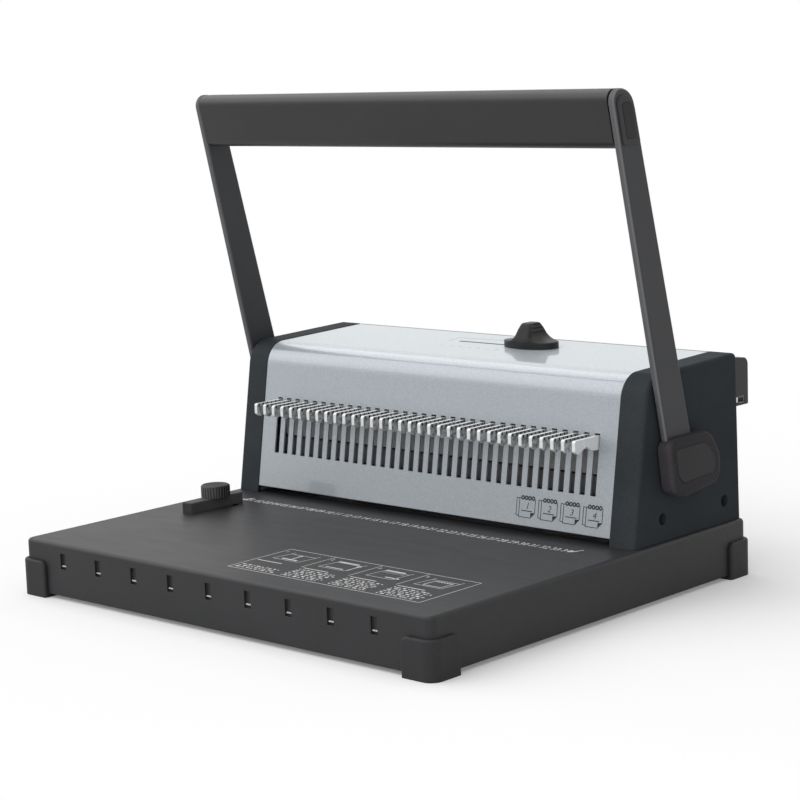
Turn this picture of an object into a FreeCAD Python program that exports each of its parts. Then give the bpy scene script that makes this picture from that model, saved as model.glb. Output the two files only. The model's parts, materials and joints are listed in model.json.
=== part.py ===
import FreeCAD, Part
import math
import os

# Wire binding machine. X runs to the right, Y to the back, Z up, in millimetres.
# The origin is the middle of the base's footprint, on the face that it stands on.

V = FreeCAD.Vector
os.makedirs("parts", exist_ok=True)

# Sizes that most others follow
base_width = 355.0
base_depth = 307.4
base_top = 37.0
arm_top = 317.0
pin_pitch = 25.4 / 3.0
half_width = base_width / 2.0
half_depth = base_depth / 2.0

# How far cutters reach past a face, joined bodies overlap, and holes exceed what fills them
past = 1.0
lap = 0.5
press_play = 0.02
hole_play = 0.1
tiny = 1e-6

# Housing profile: a leaning front panel, a large bend and a top that rises to the back
sheet_gap = 5.0
sheet_top = base_top + sheet_gap
panel_foot_y = half_depth - 116.3
panel_foot_z = sheet_top
panel_lean = 0.1618
top_rise = 0.033
top_rear_z = base_top + 107.6
top_rear_y = half_depth - 6.7
cover_bend = 17.0
cover_sheet = 1.2
cover_rear_y = half_depth - 7.5

# Cheeks: hollow side covers
cheek_outer = half_width - 2.8
cheek_inner = cheek_outer - 19.3
housing_half = cheek_inner - 0.2
cheek_wall = 2.5
cheek_proud = 0.4
cheek_round = 3.0
cheek_rear_round = 2.5
rear_foot_y = half_depth - 1.8
rear_lean = 0.0265
rear_sheet = 2.0
cheek_screw_y = (half_depth - 87.6, half_depth - 20.6)
cheek_screw_z = base_top + 14.5
cheek_hole = 3.9
cheek_boss = 6.0
cheek_boss_floor = 3.0
screw_shank = 1.6
screw_head = 3.2
screw_head_tall = 2.4
screw_drive = 0.96
screw_drive_deep = 1.2
screw_short = 0.2

# Steel side frames inside the cheeks
frame_inner = cheek_inner + 2.6
frame_thick = 4.0
frame_outer = frame_inner + frame_thick
frame_inset = 4.0
frame_brow_inset = 6.0
frame_rear = half_depth - 7.7
frame_top = top_rear_z - 6.6
frame_corner = 6.0
flange_out = 9.5
flange_thick = 2.5
flange_front = frame_rear - 71.0
frame_bolt_y = (half_depth - 68.7, half_depth - 17.7)
frame_bolt_x = frame_outer + 5.0
bolt_radius = 2.5
bolt_head = 4.2
bolt_head_tall = 3.5
nut_tall = 4.0
tie_radius = 4.0
tie_nut_tall = 2.5
tie_places = (
    (half_depth - 24.7, base_top + 27.0),
    (half_depth - 24.7, base_top + 59.0),
    (half_depth - 87.7, base_top + 89.0),
)

# Punch: die plate in the deck, pins in a beam that two posts guide
pin_count = int(2.0 * (housing_half - 13.4) / pin_pitch) + 1
row_half = (pin_count - 1) / 2.0 * pin_pitch
pin_row = panel_foot_y + 26.6
pin_radius = 2.0
pin_play = 0.06
die_play = 0.08
pin_tip = sheet_top + 2.0
pin_bite = 5.0
window_half = row_half + 6.3
window_front = pin_row - 18.0
window_rear = pin_row + 22.0
die_gap = 0.2
die_flange_half = window_half + 6.0
die_flange_edge = 4.0
die_low = base_top - 9.0
stop_front = pin_row + 4.5
stop_rear = window_rear - 2.0
stop_half = frame_inner - 3.0
guide_plate_thick = 8.0
guide_plate_top = sheet_top + guide_plate_thick
guide_plate_front = pin_row - 20.0
guide_plate_short = 0.1
clamp_inner_x = 45.0
clamp_outer_x = row_half - 9.7
clamp_x = (-clamp_outer_x, -clamp_inner_x, clamp_inner_x, clamp_outer_x)
clamp_y = pin_row + 13.5
clamp_radius = 2.4
clamp_head = 4.0
clamp_head_tall = 3.6
clamp_head_play = 0.2
clamp_drive = 1.7
clamp_drive_floor = 1.8
beam_low = guide_plate_top + 13.5
beam_high = beam_low + 12.0
beam_front = pin_row - 7.0
beam_rear = pin_row + 18.5
beam_half = frame_inner - 2.0
post_x = row_half + 7.3
post_y = pin_row + 10.0
post_radius = 4.0
post_play = 0.05
post_top = beam_high + 4.5
spring_wire = 1.2
spring_radius = 5.6
spring_turns = 5.5
spring_play = 1.0
spring_end_play = 0.05
spring_seat_deep = 8.0

# Pivot shaft and cams
pivot_y = pin_row + 25.0
pivot_z = base_top + 48.5
arm_inner = cheek_outer + 0.7
arm_thick = 5.0
arm_outer = arm_inner + arm_thick
shaft_radius = 7.0
shaft_end = arm_inner - 0.2
shaft_room = 1.5
shaft_square = 9.8
square_play = 0.1
bush_radius = 11.0
bush_flange = 13.0
bush_flange_thick = 2.0
bush_play = 0.05
cam_hub = 9.5
cam_thick = 10.0
cam_pin_radius = 1.5
cam_pin_short = 0.4
cam_pin_reach = 20.0
cam_steps = 14
punch_cam_x = row_half - 19.7
punch_cam_start = -0.75
punch_cam_close = (-3.0, 8.9)
punch_stroke = 12.0
closer_cam_x = punch_cam_x - 24.0
closer_cam_start = -0.7
closer_cam_close = (-6.0, -7.3)
closer_stroke = 6.0
handle_swing = math.radians(75.0)
cam_play = 0.3
cam_lead = 0.1

# Handle
arm_datum_z = pivot_z + 14.5
arm_front_y = pivot_y - 24.97
arm_front_reach = 49.5411
arm_front_lean = arm_front_reach / (arm_top - arm_datum_z)
arm_rear_y = pivot_y + 1.49
arm_rear_reach = 55.6171
arm_rear_lean = arm_rear_reach / (arm_top - arm_datum_z)
arm_foot_z = pivot_z - 13.5
arm_foot_round = 8.0
arm_top_round = 13.0
arm_nose_round = 7.5
arm_hub = 16.0
arm_edge = 1.8
grip_drop = 0.2
grip_low = arm_top - 35.4
grip_deep = 20.0
grip_round = 6.0
grip_nose_round = 6.5
grip_wall = 2.5
grip_web_count = 6
grip_web_pitch = (arm_inner - 25.4) / 2.5
grip_web_thick = 2.0
grip_web_lap = 0.4
grip_rod = 6.0
rod_z = arm_top - 18.0
rod_y = arm_front_y - arm_front_lean * (rod_z - arm_datum_z) + 9.0
rod_play = 0.1
rod_screw = 2.5
rod_screw_bite = 12.0
rod_screw_short = 0.5
rod_screw_head = 4.5
rod_screw_head_tall = 1.1
rod_screw_sunk = 0.1
rod_screw_play = 0.2
cap_thick = 1.0
cap_edge = 0.6
cap_inset = 2.0
cap_low = arm_top - 33.5
cap_high = arm_top - 4.0
cap_low_round = 2.0
badge_low = arm_top - 29.5
badge_high = arm_top - 8.5
badge_middle = 11.2
badge_wide = 9.5
badge_round = 2.0
badge_high_round = 4.0
badge_deep = 0.5
badge_proud = 0.15
badge_gap = 0.15

# Pivot covers over the arms' lower ends; outlines are given from the pivot
boss_inner = cheek_outer + 1.0
boss_outer = arm_outer + 5.0
boss_edge = 4.0
boss_outline = (
    (-29.8, 17.1, 8.0),
    (-24.4, -16.1, 9.0),
    (-13.5, -21.9, 8.0),
    (25.2, -17.5, 9.0),
    (27.6, -0.5, 16.0),
    (16.0, 17.7, 14.0),
)
boss_cap_outline = (
    (-23.8, 10.5, 2.0),
    (-20.6, -6.3, 3.0),
    (-15.0, -11.7, 3.0),
    (18.0, -9.7, 3.0),
    (19.0, 0.5, 9.0),
    (9.0, 11.1, 8.0),
)
boss_cap_deep = 1.6
boss_cap_gap = 0.2
boss_cap_proud = 0.3
boss_cap_edge = 0.5
arm_pocket_play = 0.3
pocket_floor_play = 0.1
pivot_screw_radius = 3.0
pivot_screw_bite = 16.0
pivot_screw_head = 7.5
pivot_screw_head_tall = 2.6
pivot_screw_drive = 2.4
pivot_screw_drive_floor = 1.0
screw_room = 1.0

# Hooks in the panel's slots, on a carrier plate; the outline runs from the carrier's front
panel_slot_wide = 4.2
panel_slot_low = base_top + 29.2
hook_top = base_top + 66.7
panel_slot_high = hook_top + 1.2
hook_thick = 2.6
hook_outline = (
    (0.0, 0.0, 0.0),
    (-29.8, 0.0, 1.5),
    (-29.8, -6.9, 0.8),
    (-26.6, -8.9, 0.8),
    (-18.6, -4.8, 2.5),
    (-13.4, -8.2, 1.5),
    (-6.3, -8.9, 1.0),
    (0.0, -8.9, 0.0),
)
carrier_front = pin_row - 11.0
carrier_thick = 2.0
carrier_low = hook_top - 26.1
carrier_high = hook_top + 14.3
carrier_half = row_half + 0.9
carrier_tab_low = hook_top + 0.3

# Size slider on the top
slider_x = 32.0
slider_y = half_depth - 36.7
slider_slot_y = slider_y - 1.5
slider_slot_wide = 3.0
slider_slot_left = -30.4
slider_slot_right = 38.6
slider_stem_long = 6.0
slider_stem_play = 0.2
slider_stem_rise = 6.0
slider_socket_play = 0.25
slider_socket_deep = 7.0
knob_long = 21.5
knob_deep = 12.0
knob_tall = 17.0
knob_lift = 0.3
knob_levels = (
    (1.00, 1.00, 0.0, 0.00),
    (1.00, 1.00, 0.0, 0.18),
    (0.80, 0.90, 0.1, 0.34),
    (0.62, 0.74, 0.4, 0.62),
    (0.52, 0.58, 0.7, 0.86),
    (0.34, 0.36, 0.9, 1.00),
)
bracket_front = slider_y - 17.0
bracket_rear = slider_y + 17.0
bracket_low = top_rear_z - 12.0
bracket_thick = 2.0
bracket_tab_drop = 12.0
carriage_front = slider_y - 13.0
carriage_rear = slider_y + 9.0
carriage_half = 22.0
carriage_thick = 3.0
slide_gap = 0.3
carriage_low = bracket_low + bracket_thick + slide_gap
carriage_high = carriage_low + carriage_thick
wedge_slope = 0.09
stop_left = -58.0
stop_right = 70.0
size_stop_rear = slider_y + 24.0
size_stop_lug_long = 20.0
size_stop_lug_thick = 3.0

# Wire closer at the back
closer_half = half_width - 6.5
jaw_low = pivot_z + 26.0
jaw_thick = 3.5
jaw_high = jaw_low + jaw_thick
jaw_inner_half = frame_inner - 10.0
jaw_outer_half = closer_half - 0.6
jaw_front = pivot_y + 12.0
hood_front = half_depth - 3.3
hood_rear = hood_front + 16.4
jaw_neck_rear = hood_front + 0.4
jaw_tip = hood_front + 5.6
jaw_slot_play = 0.6
jaw_dog_play = 0.7
jaw_dog_lap = 4.0
size_stop_lug_low = jaw_low + 5.5
follower_wide = 12.0
follower_thick = 3.0
follower_low = pivot_z - 11.5
rail_reach = 14.0
rail_front = jaw_front + 5.0
rail_rear = hood_front - 10.4
rail_tall = 3.0
hood_top = top_rear_z - 3.3
hood_top_drop = 1.6
hood_low = jaw_low - 2.0
hood_front_low = jaw_low + 9.5
hood_wall = 2.5
hood_round = 5.0
hood_front_round = 1.5
hood_low_round = 1.0
hood_half = closer_half - 5.5
cap_slot_play = 0.4
anvil_thick = 1.0
anvil_short = 0.5
anvil_low = hood_low + 0.7
anvil_high = hood_top - 14.3
hood_screw_inner_x = 50.0
hood_screw_outer_x = hood_half - 25.5
hood_screw_x = (-hood_screw_outer_x, -hood_screw_inner_x, hood_screw_inner_x, hood_screw_outer_x)
hood_screw_z = hood_top - 12.3
hood_screw_head_tall = 2.0
hood_screw_bite = 4.5

# Base: a wide hollow tray on four corner feet
base_bottom = 2.8
base_corner = 5.0
base_edge = 2.5
base_wall = 2.5
deck = 3.0
under_deck = base_top - deck
inner_half_width = half_width - base_wall
inner_half_depth = half_depth - base_wall
foot_proud = 2.8
foot_height = 24.0
foot_leg = 24.2
foot_corner = 7.8
foot_end_round = 4.5
foot_edge = 1.5
foot_gap = 0.05

# Nine keeper slots in the base's front wall
slot_count = 9
slot_pitch = (half_width - 40.7) / 4.0
slot_shift = -2.2
slot_wide = 5.5
slot_low = base_top - 16.4
slot_high = base_top - 6.0
slot_deep = 1.6
keeper_thick = 0.8
keeper_rise = 1.8
keeper_inset = 0.5

# Bottom plate under the mechanism, on bosses of the base
plate_thick = 1.5
plate_seat = 3.0
plate_top = plate_seat + plate_thick
plate_front = pin_row - 34.0
plate_gap = 0.5
plate_boss = 4.5
plate_screw = 1.5
plate_screw_bite = 9.5
plate_screw_head = 3.0
plate_screw_head_tall = 1.6
boss_front_x = half_width - 17.5
boss_rear_x = half_width - 29.5
boss_rear_y = half_depth - 8.2
boss_places = (
    (-boss_front_x, plate_front + 10.0),
    (boss_front_x, plate_front + 10.0),
    (-boss_rear_x, boss_rear_y),
    (boss_rear_x, boss_rear_y),
    (0.0, plate_front + 6.0),
    (0.0, boss_rear_y),
)

# Ribs under the front half of the deck
rib_thick = 2.0
rib_height = 3.5
rib_columns = 5
rib_pitch = (half_width - 61.5) / 2.0
rib_rear = plate_front - 2.0
front_rib_inset = 53.7
middle_rib_ahead = 35.0
rear_rib_ahead = 42.0

# Edge guide on the tray, shown at the right end of its travel, with its peg and clamp knob
guide_x = -(row_half + 3.7)
guide_wide = 9.6
guide_rear = panel_foot_y - 31.4
guide_front = guide_rear - 48.0
guide_y = guide_front + 27.0
cross_rib_rows = (front_rib_inset - half_depth, guide_y - middle_rib_ahead, window_front - rear_rib_ahead)
guide_tall = 7.4
guide_corner = 0.8
guide_round = 0.8
guide_travel = 10.0
guide_gap = 0.05
guide_low = base_top + guide_gap
guide_high = base_top + guide_tall
guide_peg = 3.3
guide_peg_y = guide_y + 11.0
guide_peg_low = under_deck - 0.5
peg_slot = 3.5
peg_slot_round = 3.2
peg_slot_right = guide_x + 9.3
guide_knob = 10.0
guide_knob_tall = 8.1
guide_knob_edge = 0.8
guide_knob_low = guide_high + guide_gap
knurl_count = 30
knurl_radius = 0.55
stud_radius = 2.0
stud_play = 0.1
stud_high = guide_knob_low + 5.5
guide_nut = 14.0
guide_nut_tall = 2.9
guide_nut_play = 0.1
stud_below = 0.5

# Chip drawer under the die plate
drawer_front = pin_row - 17.0
drawer_rear = pin_row + 19.0
drawer_low = plate_top + 0.3
drawer_high = die_low - 2.0
drawer_wall = 1.5
drawer_left = -half_width + 0.3
drawer_right = half_width - 27.5
drawer_face_thick = 2.4
drawer_face_edge = 0.8
drawer_gap = 0.3
drawer_grip_radius = 6.0
drawer_rail_wide = 2.0
drawer_rail_tall = 5.0
drawer_rail_left = -inner_half_width + 1.5
drawer_stop_long = 4.7


def box(x0, x1, y0, y1, z0, z1):
    return Part.makeBox(x1 - x0, y1 - y0, z1 - z0, V(x0, y0, z0))


def rod_x(y, z, radius, x0, x1):
    return Part.makeCylinder(radius, x1 - x0, V(x0, y, z), V(1, 0, 0))


def rod_y_axis(x, z, radius, y0, y1):
    return Part.makeCylinder(radius, y1 - y0, V(x, y0, z), V(0, 1, 0))


def rod_z_axis(x, y, radius, z0, z1):
    return Part.makeCylinder(radius, z1 - z0, V(x, y, z0), V(0, 0, 1))


def mirrored(shape):
    return shape.mirror(V(0, 0, 0), V(1, 0, 0))


def rounded_wire(corners, place):
    """Closed outline of straight edges and tangent arcs; corners are (a, b, radius)."""
    count = len(corners)
    stretches = []
    for i in range(count):
        a, b, radius = corners[i]
        before = corners[i - 1]
        after = corners[(i + 1) % count]
        here = V(a, b, 0)
        back = (V(before[0], before[1], 0) - here).normalize()
        ahead = (V(after[0], after[1], 0) - here).normalize()
        if radius <= 0:
            stretches.append((here, here, None))
            continue
        half = back.getAngle(ahead) / 2
        reach = radius / math.tan(half)
        middle = (back + ahead).normalize()
        centre = here + middle * (radius / math.sin(half))
        stretches.append((here + back * reach, here + ahead * reach, centre - middle * radius))
    edges = []
    for i in range(count):
        start, end, bulge = stretches[i]
        following = stretches[(i + 1) % count][0]
        if bulge is not None:
            edges.append(Part.Arc(place(start), place(bulge), place(end)).toShape())
        if end.distanceToPoint(following) > tiny:
            edges.append(Part.LineSegment(place(end), place(following)).toShape())
    return Part.Wire(edges)


def prism_x(corners, x0, x1):
    """Solid of an outline given in (y, z), from x0 to x1."""
    face = Part.Face(rounded_wire(corners, lambda p: V(x0, p.x, p.y)))
    return face.extrude(V(x1 - x0, 0, 0))


def prism_z(corners, z0, z1):
    """Solid of an outline given in (x, y), from z0 to z1."""
    face = Part.Face(rounded_wire(corners, lambda p: V(p.x, p.y, z0)))
    return face.extrude(V(0, 0, z1 - z0))


def moved(outline, y, z):
    """Outline given from a point, placed on that point."""
    return [(y + a, z + b, radius) for a, b, radius in outline]


def rectangle(x0, x1, y0, y1, radius):
    return ((x0, y0, radius), (x1, y0, radius), (x1, y1, radius), (x0, y1, radius))


def save(name, shape):
    solids = shape if isinstance(shape, list) else [shape]
    singles = [solid for item in solids for solid in item.Solids]
    kept = singles[0] if len(singles) == 1 else Part.makeCompound(singles)
    bad = [i for i, solid in enumerate(singles) if not solid.isValid()]
    kept.exportStep("parts/" + name + ".step")
    print(name, len(singles), "solids", "bad " + str(bad) if bad else "")


def panel_line(z, inset=0.0):
    """Y of the front panel's outer face at height z, moved inwards by inset."""
    return panel_foot_y + panel_lean * (z - panel_foot_z) + inset * math.hypot(1.0, panel_lean)


def top_line(y, inset=0.0):
    return top_rear_z + top_rise * (y - top_rear_y) - inset * math.hypot(1.0, top_rise)


def rear_line(z):
    return rear_foot_y - rear_lean * (z - base_top)


def brow(inset):
    """Where the front panel's line and the top's line cross."""
    start_y = panel_line(panel_foot_z, inset)
    start_z = top_line(top_rear_y, inset)
    z = start_z + top_rise * (start_y - panel_lean * panel_foot_z - top_rear_y)
    z /= 1.0 - top_rise * panel_lean
    return start_y + panel_lean * (z - panel_foot_z), z


def housing_outline(inset, foot, rear_inset, bend, rear_round):
    """Closed side profile of the housing, moved inwards all round."""
    front = (panel_line(foot, inset), foot, 0.0)
    crest = brow(inset) + (bend,)
    rear_high = top_line(rear_line(top_rear_z), inset)
    rear = (rear_line(rear_high) - rear_inset, rear_high, rear_round)
    return (front, crest, rear, (rear_line(foot) - rear_inset, foot, 0.0))


def pin_places():
    return [(i - (pin_count - 1) / 2.0) * pin_pitch for i in range(pin_count)]


def keeper_places():
    return [(i - (slot_count - 1) / 2.0) * slot_pitch + slot_shift for i in range(slot_count)]


def base_shell():
    outline = rectangle(-half_width, half_width, -half_depth, half_depth, base_corner)
    block = prism_z(outline, base_bottom, base_top)
    rim = [e for e in block.Edges if abs(e.BoundBox.ZMin - base_top) < tiny]
    block = block.makeFillet(base_edge, rim)
    inside = rectangle(-inner_half_width, inner_half_width, -inner_half_depth, inner_half_depth,
                       base_corner - base_wall)
    shell = block.cut(prism_z(inside, base_bottom - past, under_deck))
    bosses = [rod_z_axis(x, y, plate_boss, plate_top, under_deck + lap) for x, y in boss_places]
    shell = shell.fuse(deck_ribs() + bosses)
    return shell.cut(base_openings() + guide_openings()).removeSplitter()


def base_openings():
    """Die window, bolt and screw holes, keeper slots and the drawer's opening."""
    low = under_deck - past
    high = base_top + past
    removed = [box(-window_half, window_half, window_front, window_rear, low, high)]
    for side in (-1, 1):
        for y in frame_bolt_y:
            removed.append(rod_z_axis(side * frame_bolt_x, y, bolt_radius + hole_play, low, high))
    for x, y in boss_places:
        removed.append(rod_z_axis(x, y, plate_screw + hole_play, plate_top - past,
                                  plate_seat + plate_screw_bite + past))
    for x in keeper_places():
        removed.append(box(x - slot_wide / 2, x + slot_wide / 2, -half_depth - past,
                           -half_depth + slot_deep, slot_low, slot_high))
    removed.append(box(-half_width - past, -inner_half_width + past,
                       drawer_front - drawer_face_edge - drawer_gap,
                       drawer_rear + drawer_face_edge + drawer_gap, plate_top,
                       drawer_high + drawer_gap * 2))
    return removed


def guide_openings():
    """Slots of the edge guide's stud and peg, with room for its travel."""
    low = under_deck - past
    high = base_top + past
    stud = stud_radius + stud_play
    left = guide_x - guide_travel
    stud_slot = box(left - stud, guide_x + stud, guide_y - stud, guide_y + stud, low, high)
    outline = rectangle(left - peg_slot, peg_slot_right, guide_peg_y - peg_slot, guide_peg_y + peg_slot,
                        peg_slot_round)
    return [stud_slot, prism_z(outline, low, high)]


def deck_ribs():
    """Stiffening ribs under the front half of the deck."""
    low = under_deck - rib_height
    high = under_deck + lap
    ribs = []
    for i in range(rib_columns):
        x = (i - (rib_columns - 1) / 2.0) * rib_pitch
        ribs.append(box(x - rib_thick / 2, x + rib_thick / 2, -inner_half_depth - lap, rib_rear, low, high))
    for y in cross_rib_rows:
        ribs.append(box(-inner_half_width - lap, inner_half_width + lap, y - rib_thick / 2,
                        y + rib_thick / 2, low, high))
    return ribs


def corner_foot(side_x, side_y):
    """Boot that wraps one lower corner of the base."""
    out_x = half_width + foot_proud
    out_y = half_depth + foot_proud
    in_x = out_x - foot_leg
    in_y = out_y - foot_leg
    block = prism_z(((in_x, in_y, 0), (out_x, in_y, 0), (out_x, out_y, foot_corner), (in_x, out_y, 0)),
                    0.0, foot_height)
    wall_x = half_width + foot_gap
    wall_y = half_depth + foot_gap
    hollow = prism_z(((0, 0, 0), (wall_x, 0, 0), (wall_x, wall_y, base_corner + foot_gap), (0, wall_y, 0)),
                     base_bottom, foot_height + past)
    foot = block.cut(hollow)
    ends = [e for e in foot.Edges
            if e.BoundBox.ZMin > foot_height - tiny
            and (e.BoundBox.XMax < in_x + tiny or e.BoundBox.YMax < in_y + tiny)]
    foot = foot.makeFillet(foot_end_round, ends)
    foot = foot.makeFillet(foot_edge, [e for e in foot.Edges if on_foot_rim(e.BoundBox, out_x, out_y)])
    if side_x < 0:
        foot = foot.mirror(V(0, 0, 0), V(1, 0, 0))
    if side_y < 0:
        foot = foot.mirror(V(0, 0, 0), V(0, 1, 0))
    return foot


def on_foot_rim(bounds, out_x, out_y):
    """True for the edges round a boot's two outer faces, but not its underside or corner seams."""
    if bounds.ZMax < tiny:
        return False
    if bounds.ZMin > foot_height - tiny and bounds.XMax > out_x - tiny and bounds.YMax > out_y - tiny:
        return True
    seam = bounds.XMax > out_x - foot_leg + past and bounds.YMax > out_y - foot_leg + past
    if seam and bounds.ZMin < tiny:
        return False
    return bounds.XMin > out_x - tiny or bounds.YMin > out_y - tiny


def corner_feet():
    return [corner_foot(sx, sy) for sx in (-1, 1) for sy in (-1, 1)]


def keeper_tabs():
    """Bright lugs on the lower ledge of each front slot."""
    low = slot_low + keeper_rise
    tabs = []
    for x in keeper_places():
        tabs.append(box(x - slot_wide / 2 + keeper_thick, x + slot_wide / 2 - keeper_thick,
                        -half_depth + keeper_inset, -half_depth + slot_deep, low, low + keeper_thick))
    return tabs


def bottom_plate():
    half = inner_half_width - plate_gap
    rear = inner_half_depth - plate_gap
    corner = base_corner - base_wall
    outline = ((-half, plate_front, 0), (half, plate_front, 0), (half, rear, corner), (-half, rear, corner))
    holes = [rod_z_axis(x, y, plate_screw + hole_play, plate_seat - past, plate_top + past)
             for x, y in boss_places]
    return prism_z(outline, plate_seat, plate_top).cut(holes)


def bottom_screws():
    screws = []
    for x, y in boss_places:
        head = rod_z_axis(x, y, plate_screw_head, plate_seat - plate_screw_head_tall, plate_seat)
        shank = rod_z_axis(x, y, plate_screw, plate_seat, plate_seat + plate_screw_bite)
        screws.append(head.fuse(shank).removeSplitter())
    return screws


def cheek():
    """Right cheek: an outer wall and a rim, open towards the frame."""
    outline = housing_outline(-cheek_proud, base_top, 0.0, cover_bend + cheek_proud, cheek_rear_round)
    block = prism_x(outline, cheek_inner, cheek_outer)
    edge = [e for e in block.Edges
            if e.BoundBox.XMin > cheek_outer - tiny and e.BoundBox.ZMax > base_top + past]
    block = block.makeFillet(cheek_round, edge)
    inner = cheek_wall - cheek_proud
    pocket = prism_x(housing_outline(inner, base_top - past, cheek_wall, cover_bend - inner, 0.0),
                     cheek_inner - past, cheek_outer - cheek_wall)
    body = block.cut(pocket)
    seat = frame_outer + cheek_boss_floor
    bosses = []
    removed = [rod_x(pivot_y, pivot_z, shaft_radius + shaft_room, cheek_inner, cheek_outer + past)]
    for y in cheek_screw_y:
        bosses.append(rod_x(y, cheek_screw_z, cheek_boss, frame_outer, cheek_outer - past))
        removed.append(rod_x(y, cheek_screw_z, cheek_hole, seat, cheek_outer + past))
        removed.append(rod_x(y, cheek_screw_z, screw_shank + hole_play, frame_inner, seat + past))
    return body.fuse(bosses).cut(removed).removeSplitter()


def cheek_screws():
    seat = frame_outer + cheek_boss_floor
    top = seat + screw_head_tall
    screws = []
    for y in cheek_screw_y:
        head = rod_x(y, cheek_screw_z, screw_head, seat, top)
        drive = rod_x(y, cheek_screw_z, screw_drive, top - screw_drive_deep, top + past)
        shank = rod_x(y, cheek_screw_z, screw_shank, frame_inner + screw_short, seat)
        screw = head.cut(drive).fuse(shank).removeSplitter()
        screws += [screw, mirrored(screw)]
    return screws


def front_cover():
    """Folded sheet: slotted front panel, bend and top with the slider's slot."""
    outline = (
        (panel_line(panel_foot_z), panel_foot_z, 0.0),
        brow(0.0) + (cover_bend,),
        (cover_rear_y, top_line(cover_rear_y), 0.0),
        (cover_rear_y, top_line(cover_rear_y, cover_sheet), 0.0),
        brow(cover_sheet) + (cover_bend - cover_sheet,),
        (panel_line(panel_foot_z, cover_sheet), panel_foot_z, 0.0),
    )
    sheet = prism_x(outline, -housing_half, housing_half)
    removed = [box(x - panel_slot_wide / 2, x + panel_slot_wide / 2, panel_foot_y, carrier_front,
                   panel_slot_low, panel_slot_high) for x in pin_places()]
    removed.append(box(slider_slot_left, slider_slot_right, slider_slot_y - slider_slot_wide / 2,
                       slider_slot_y + slider_slot_wide / 2, bracket_low, top_rear_z))
    return sheet.cut(removed)


def rear_cover():
    foot = rear_line(base_top) - cheek_proud
    high = top_line(cover_rear_y)
    top = rear_line(high) - cheek_proud
    outline = (
        (foot, base_top, 0.0),
        (top, high, 0.0),
        (top - rear_sheet, high, 0.0),
        (foot - rear_sheet, base_top, 0.0),
    )
    sheet = prism_x(outline, -housing_half, housing_half)
    before = top - rear_sheet - past
    behind = foot + past
    half = jaw_inner_half + jaw_slot_play
    removed = [box(-half, half, before, behind, jaw_low - jaw_slot_play, jaw_high + jaw_slot_play)]
    for x in hood_screw_x:
        removed.append(rod_y_axis(x, hood_screw_z, screw_shank + hole_play, before, behind))
    return sheet.cut(removed)


def side_frame():
    """Right steel frame plate with its foot flange."""
    plate_outline = (
        (panel_line(base_top, frame_inset), base_top, 0.0),
        brow(frame_brow_inset) + (cover_bend,),
        (frame_rear, frame_top, frame_corner),
        (frame_rear, base_top, 0.0),
    )
    plate = prism_x(plate_outline, frame_inner, frame_outer)
    flange = box(frame_outer - lap, frame_outer + flange_out, flange_front, frame_rear, base_top,
                 base_top + flange_thick)
    left = frame_inner - past
    right = frame_outer + past
    holes = [rod_x(pivot_y, pivot_z, bush_radius + press_play, left, right)]
    for y in cheek_screw_y:
        holes.append(rod_x(y, cheek_screw_z, screw_shank + hole_play, left, right))
    for y, z in tie_places:
        holes.append(rod_x(y, z, screw_shank + hole_play, left, right))
    for y in frame_bolt_y:
        holes.append(rod_z_axis(frame_bolt_x, y, bolt_radius + hole_play, base_top - past,
                                base_top + flange_thick + past))
    return plate.fuse(flange).cut(holes).removeSplitter()


def tie_rods():
    far = frame_outer + tie_nut_tall
    rods = []
    for y, z in tie_places:
        rod = rod_x(y, z, tie_radius, -frame_inner, frame_inner)
        nipple = rod_x(y, z, screw_shank, -frame_outer, frame_outer)
        nut = rod_x(y, z, screw_head, frame_outer, far)
        rods.append(rod.fuse([nipple, nut, mirrored(nut)]).removeSplitter())
    return rods


def frame_bolts():
    """Bolts through the frame flanges and the deck, each with its nut."""
    pieces = []
    seat = base_top + flange_thick
    low = under_deck - nut_tall
    for side in (-1, 1):
        for y in frame_bolt_y:
            x = side * frame_bolt_x
            head = rod_z_axis(x, y, bolt_head, seat, seat + bolt_head_tall)
            shank = rod_z_axis(x, y, bolt_radius, low - past, seat)
            pieces.append(head.fuse(shank).removeSplitter())
            nut = rod_z_axis(x, y, bolt_head, low, under_deck)
            pieces.append(nut.cut(rod_z_axis(x, y, bolt_radius + press_play, low - past, base_top)))
    return pieces


def die_plate():
    pad = box(-window_half + die_gap, window_half - die_gap, window_front + die_gap,
              window_rear - die_gap, die_low, base_top)
    flange = box(-die_flange_half, die_flange_half, window_front - die_flange_edge,
                 window_rear + die_flange_edge, die_low, under_deck)
    low = die_low - past
    high = base_top + past
    holes = [rod_z_axis(x, pin_row, pin_radius + die_play, low, high) for x in pin_places()]
    holes += [rod_z_axis(x, clamp_y, clamp_radius + press_play, low, high) for x in clamp_x]
    return pad.fuse(flange).removeSplitter().cut(holes)


def depth_stop():
    bar = box(-stop_half, stop_half, stop_front, stop_rear, base_top, sheet_top)
    holes = [rod_z_axis(x, clamp_y, clamp_radius + hole_play, base_top - past, sheet_top + past)
             for x in clamp_x]
    return bar.cut(holes)


def punch_guide_plate():
    half = frame_inner - guide_plate_short
    plate = box(-half, half, guide_plate_front, stop_rear, sheet_top, guide_plate_top)
    low = sheet_top - past
    high = guide_plate_top + past
    seat = guide_plate_top - clamp_head_tall - clamp_head_play
    holes = [rod_z_axis(x, pin_row, pin_radius + pin_play, low, high) for x in pin_places()]
    for x in clamp_x:
        holes.append(rod_z_axis(x, clamp_y, clamp_radius + hole_play, low, high))
        holes.append(rod_z_axis(x, clamp_y, clamp_head + clamp_head_play, seat, high))
    for side in (-1, 1):
        holes.append(rod_z_axis(side * post_x, post_y, post_radius + press_play, low, high))
    return plate.cut(holes)


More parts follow.
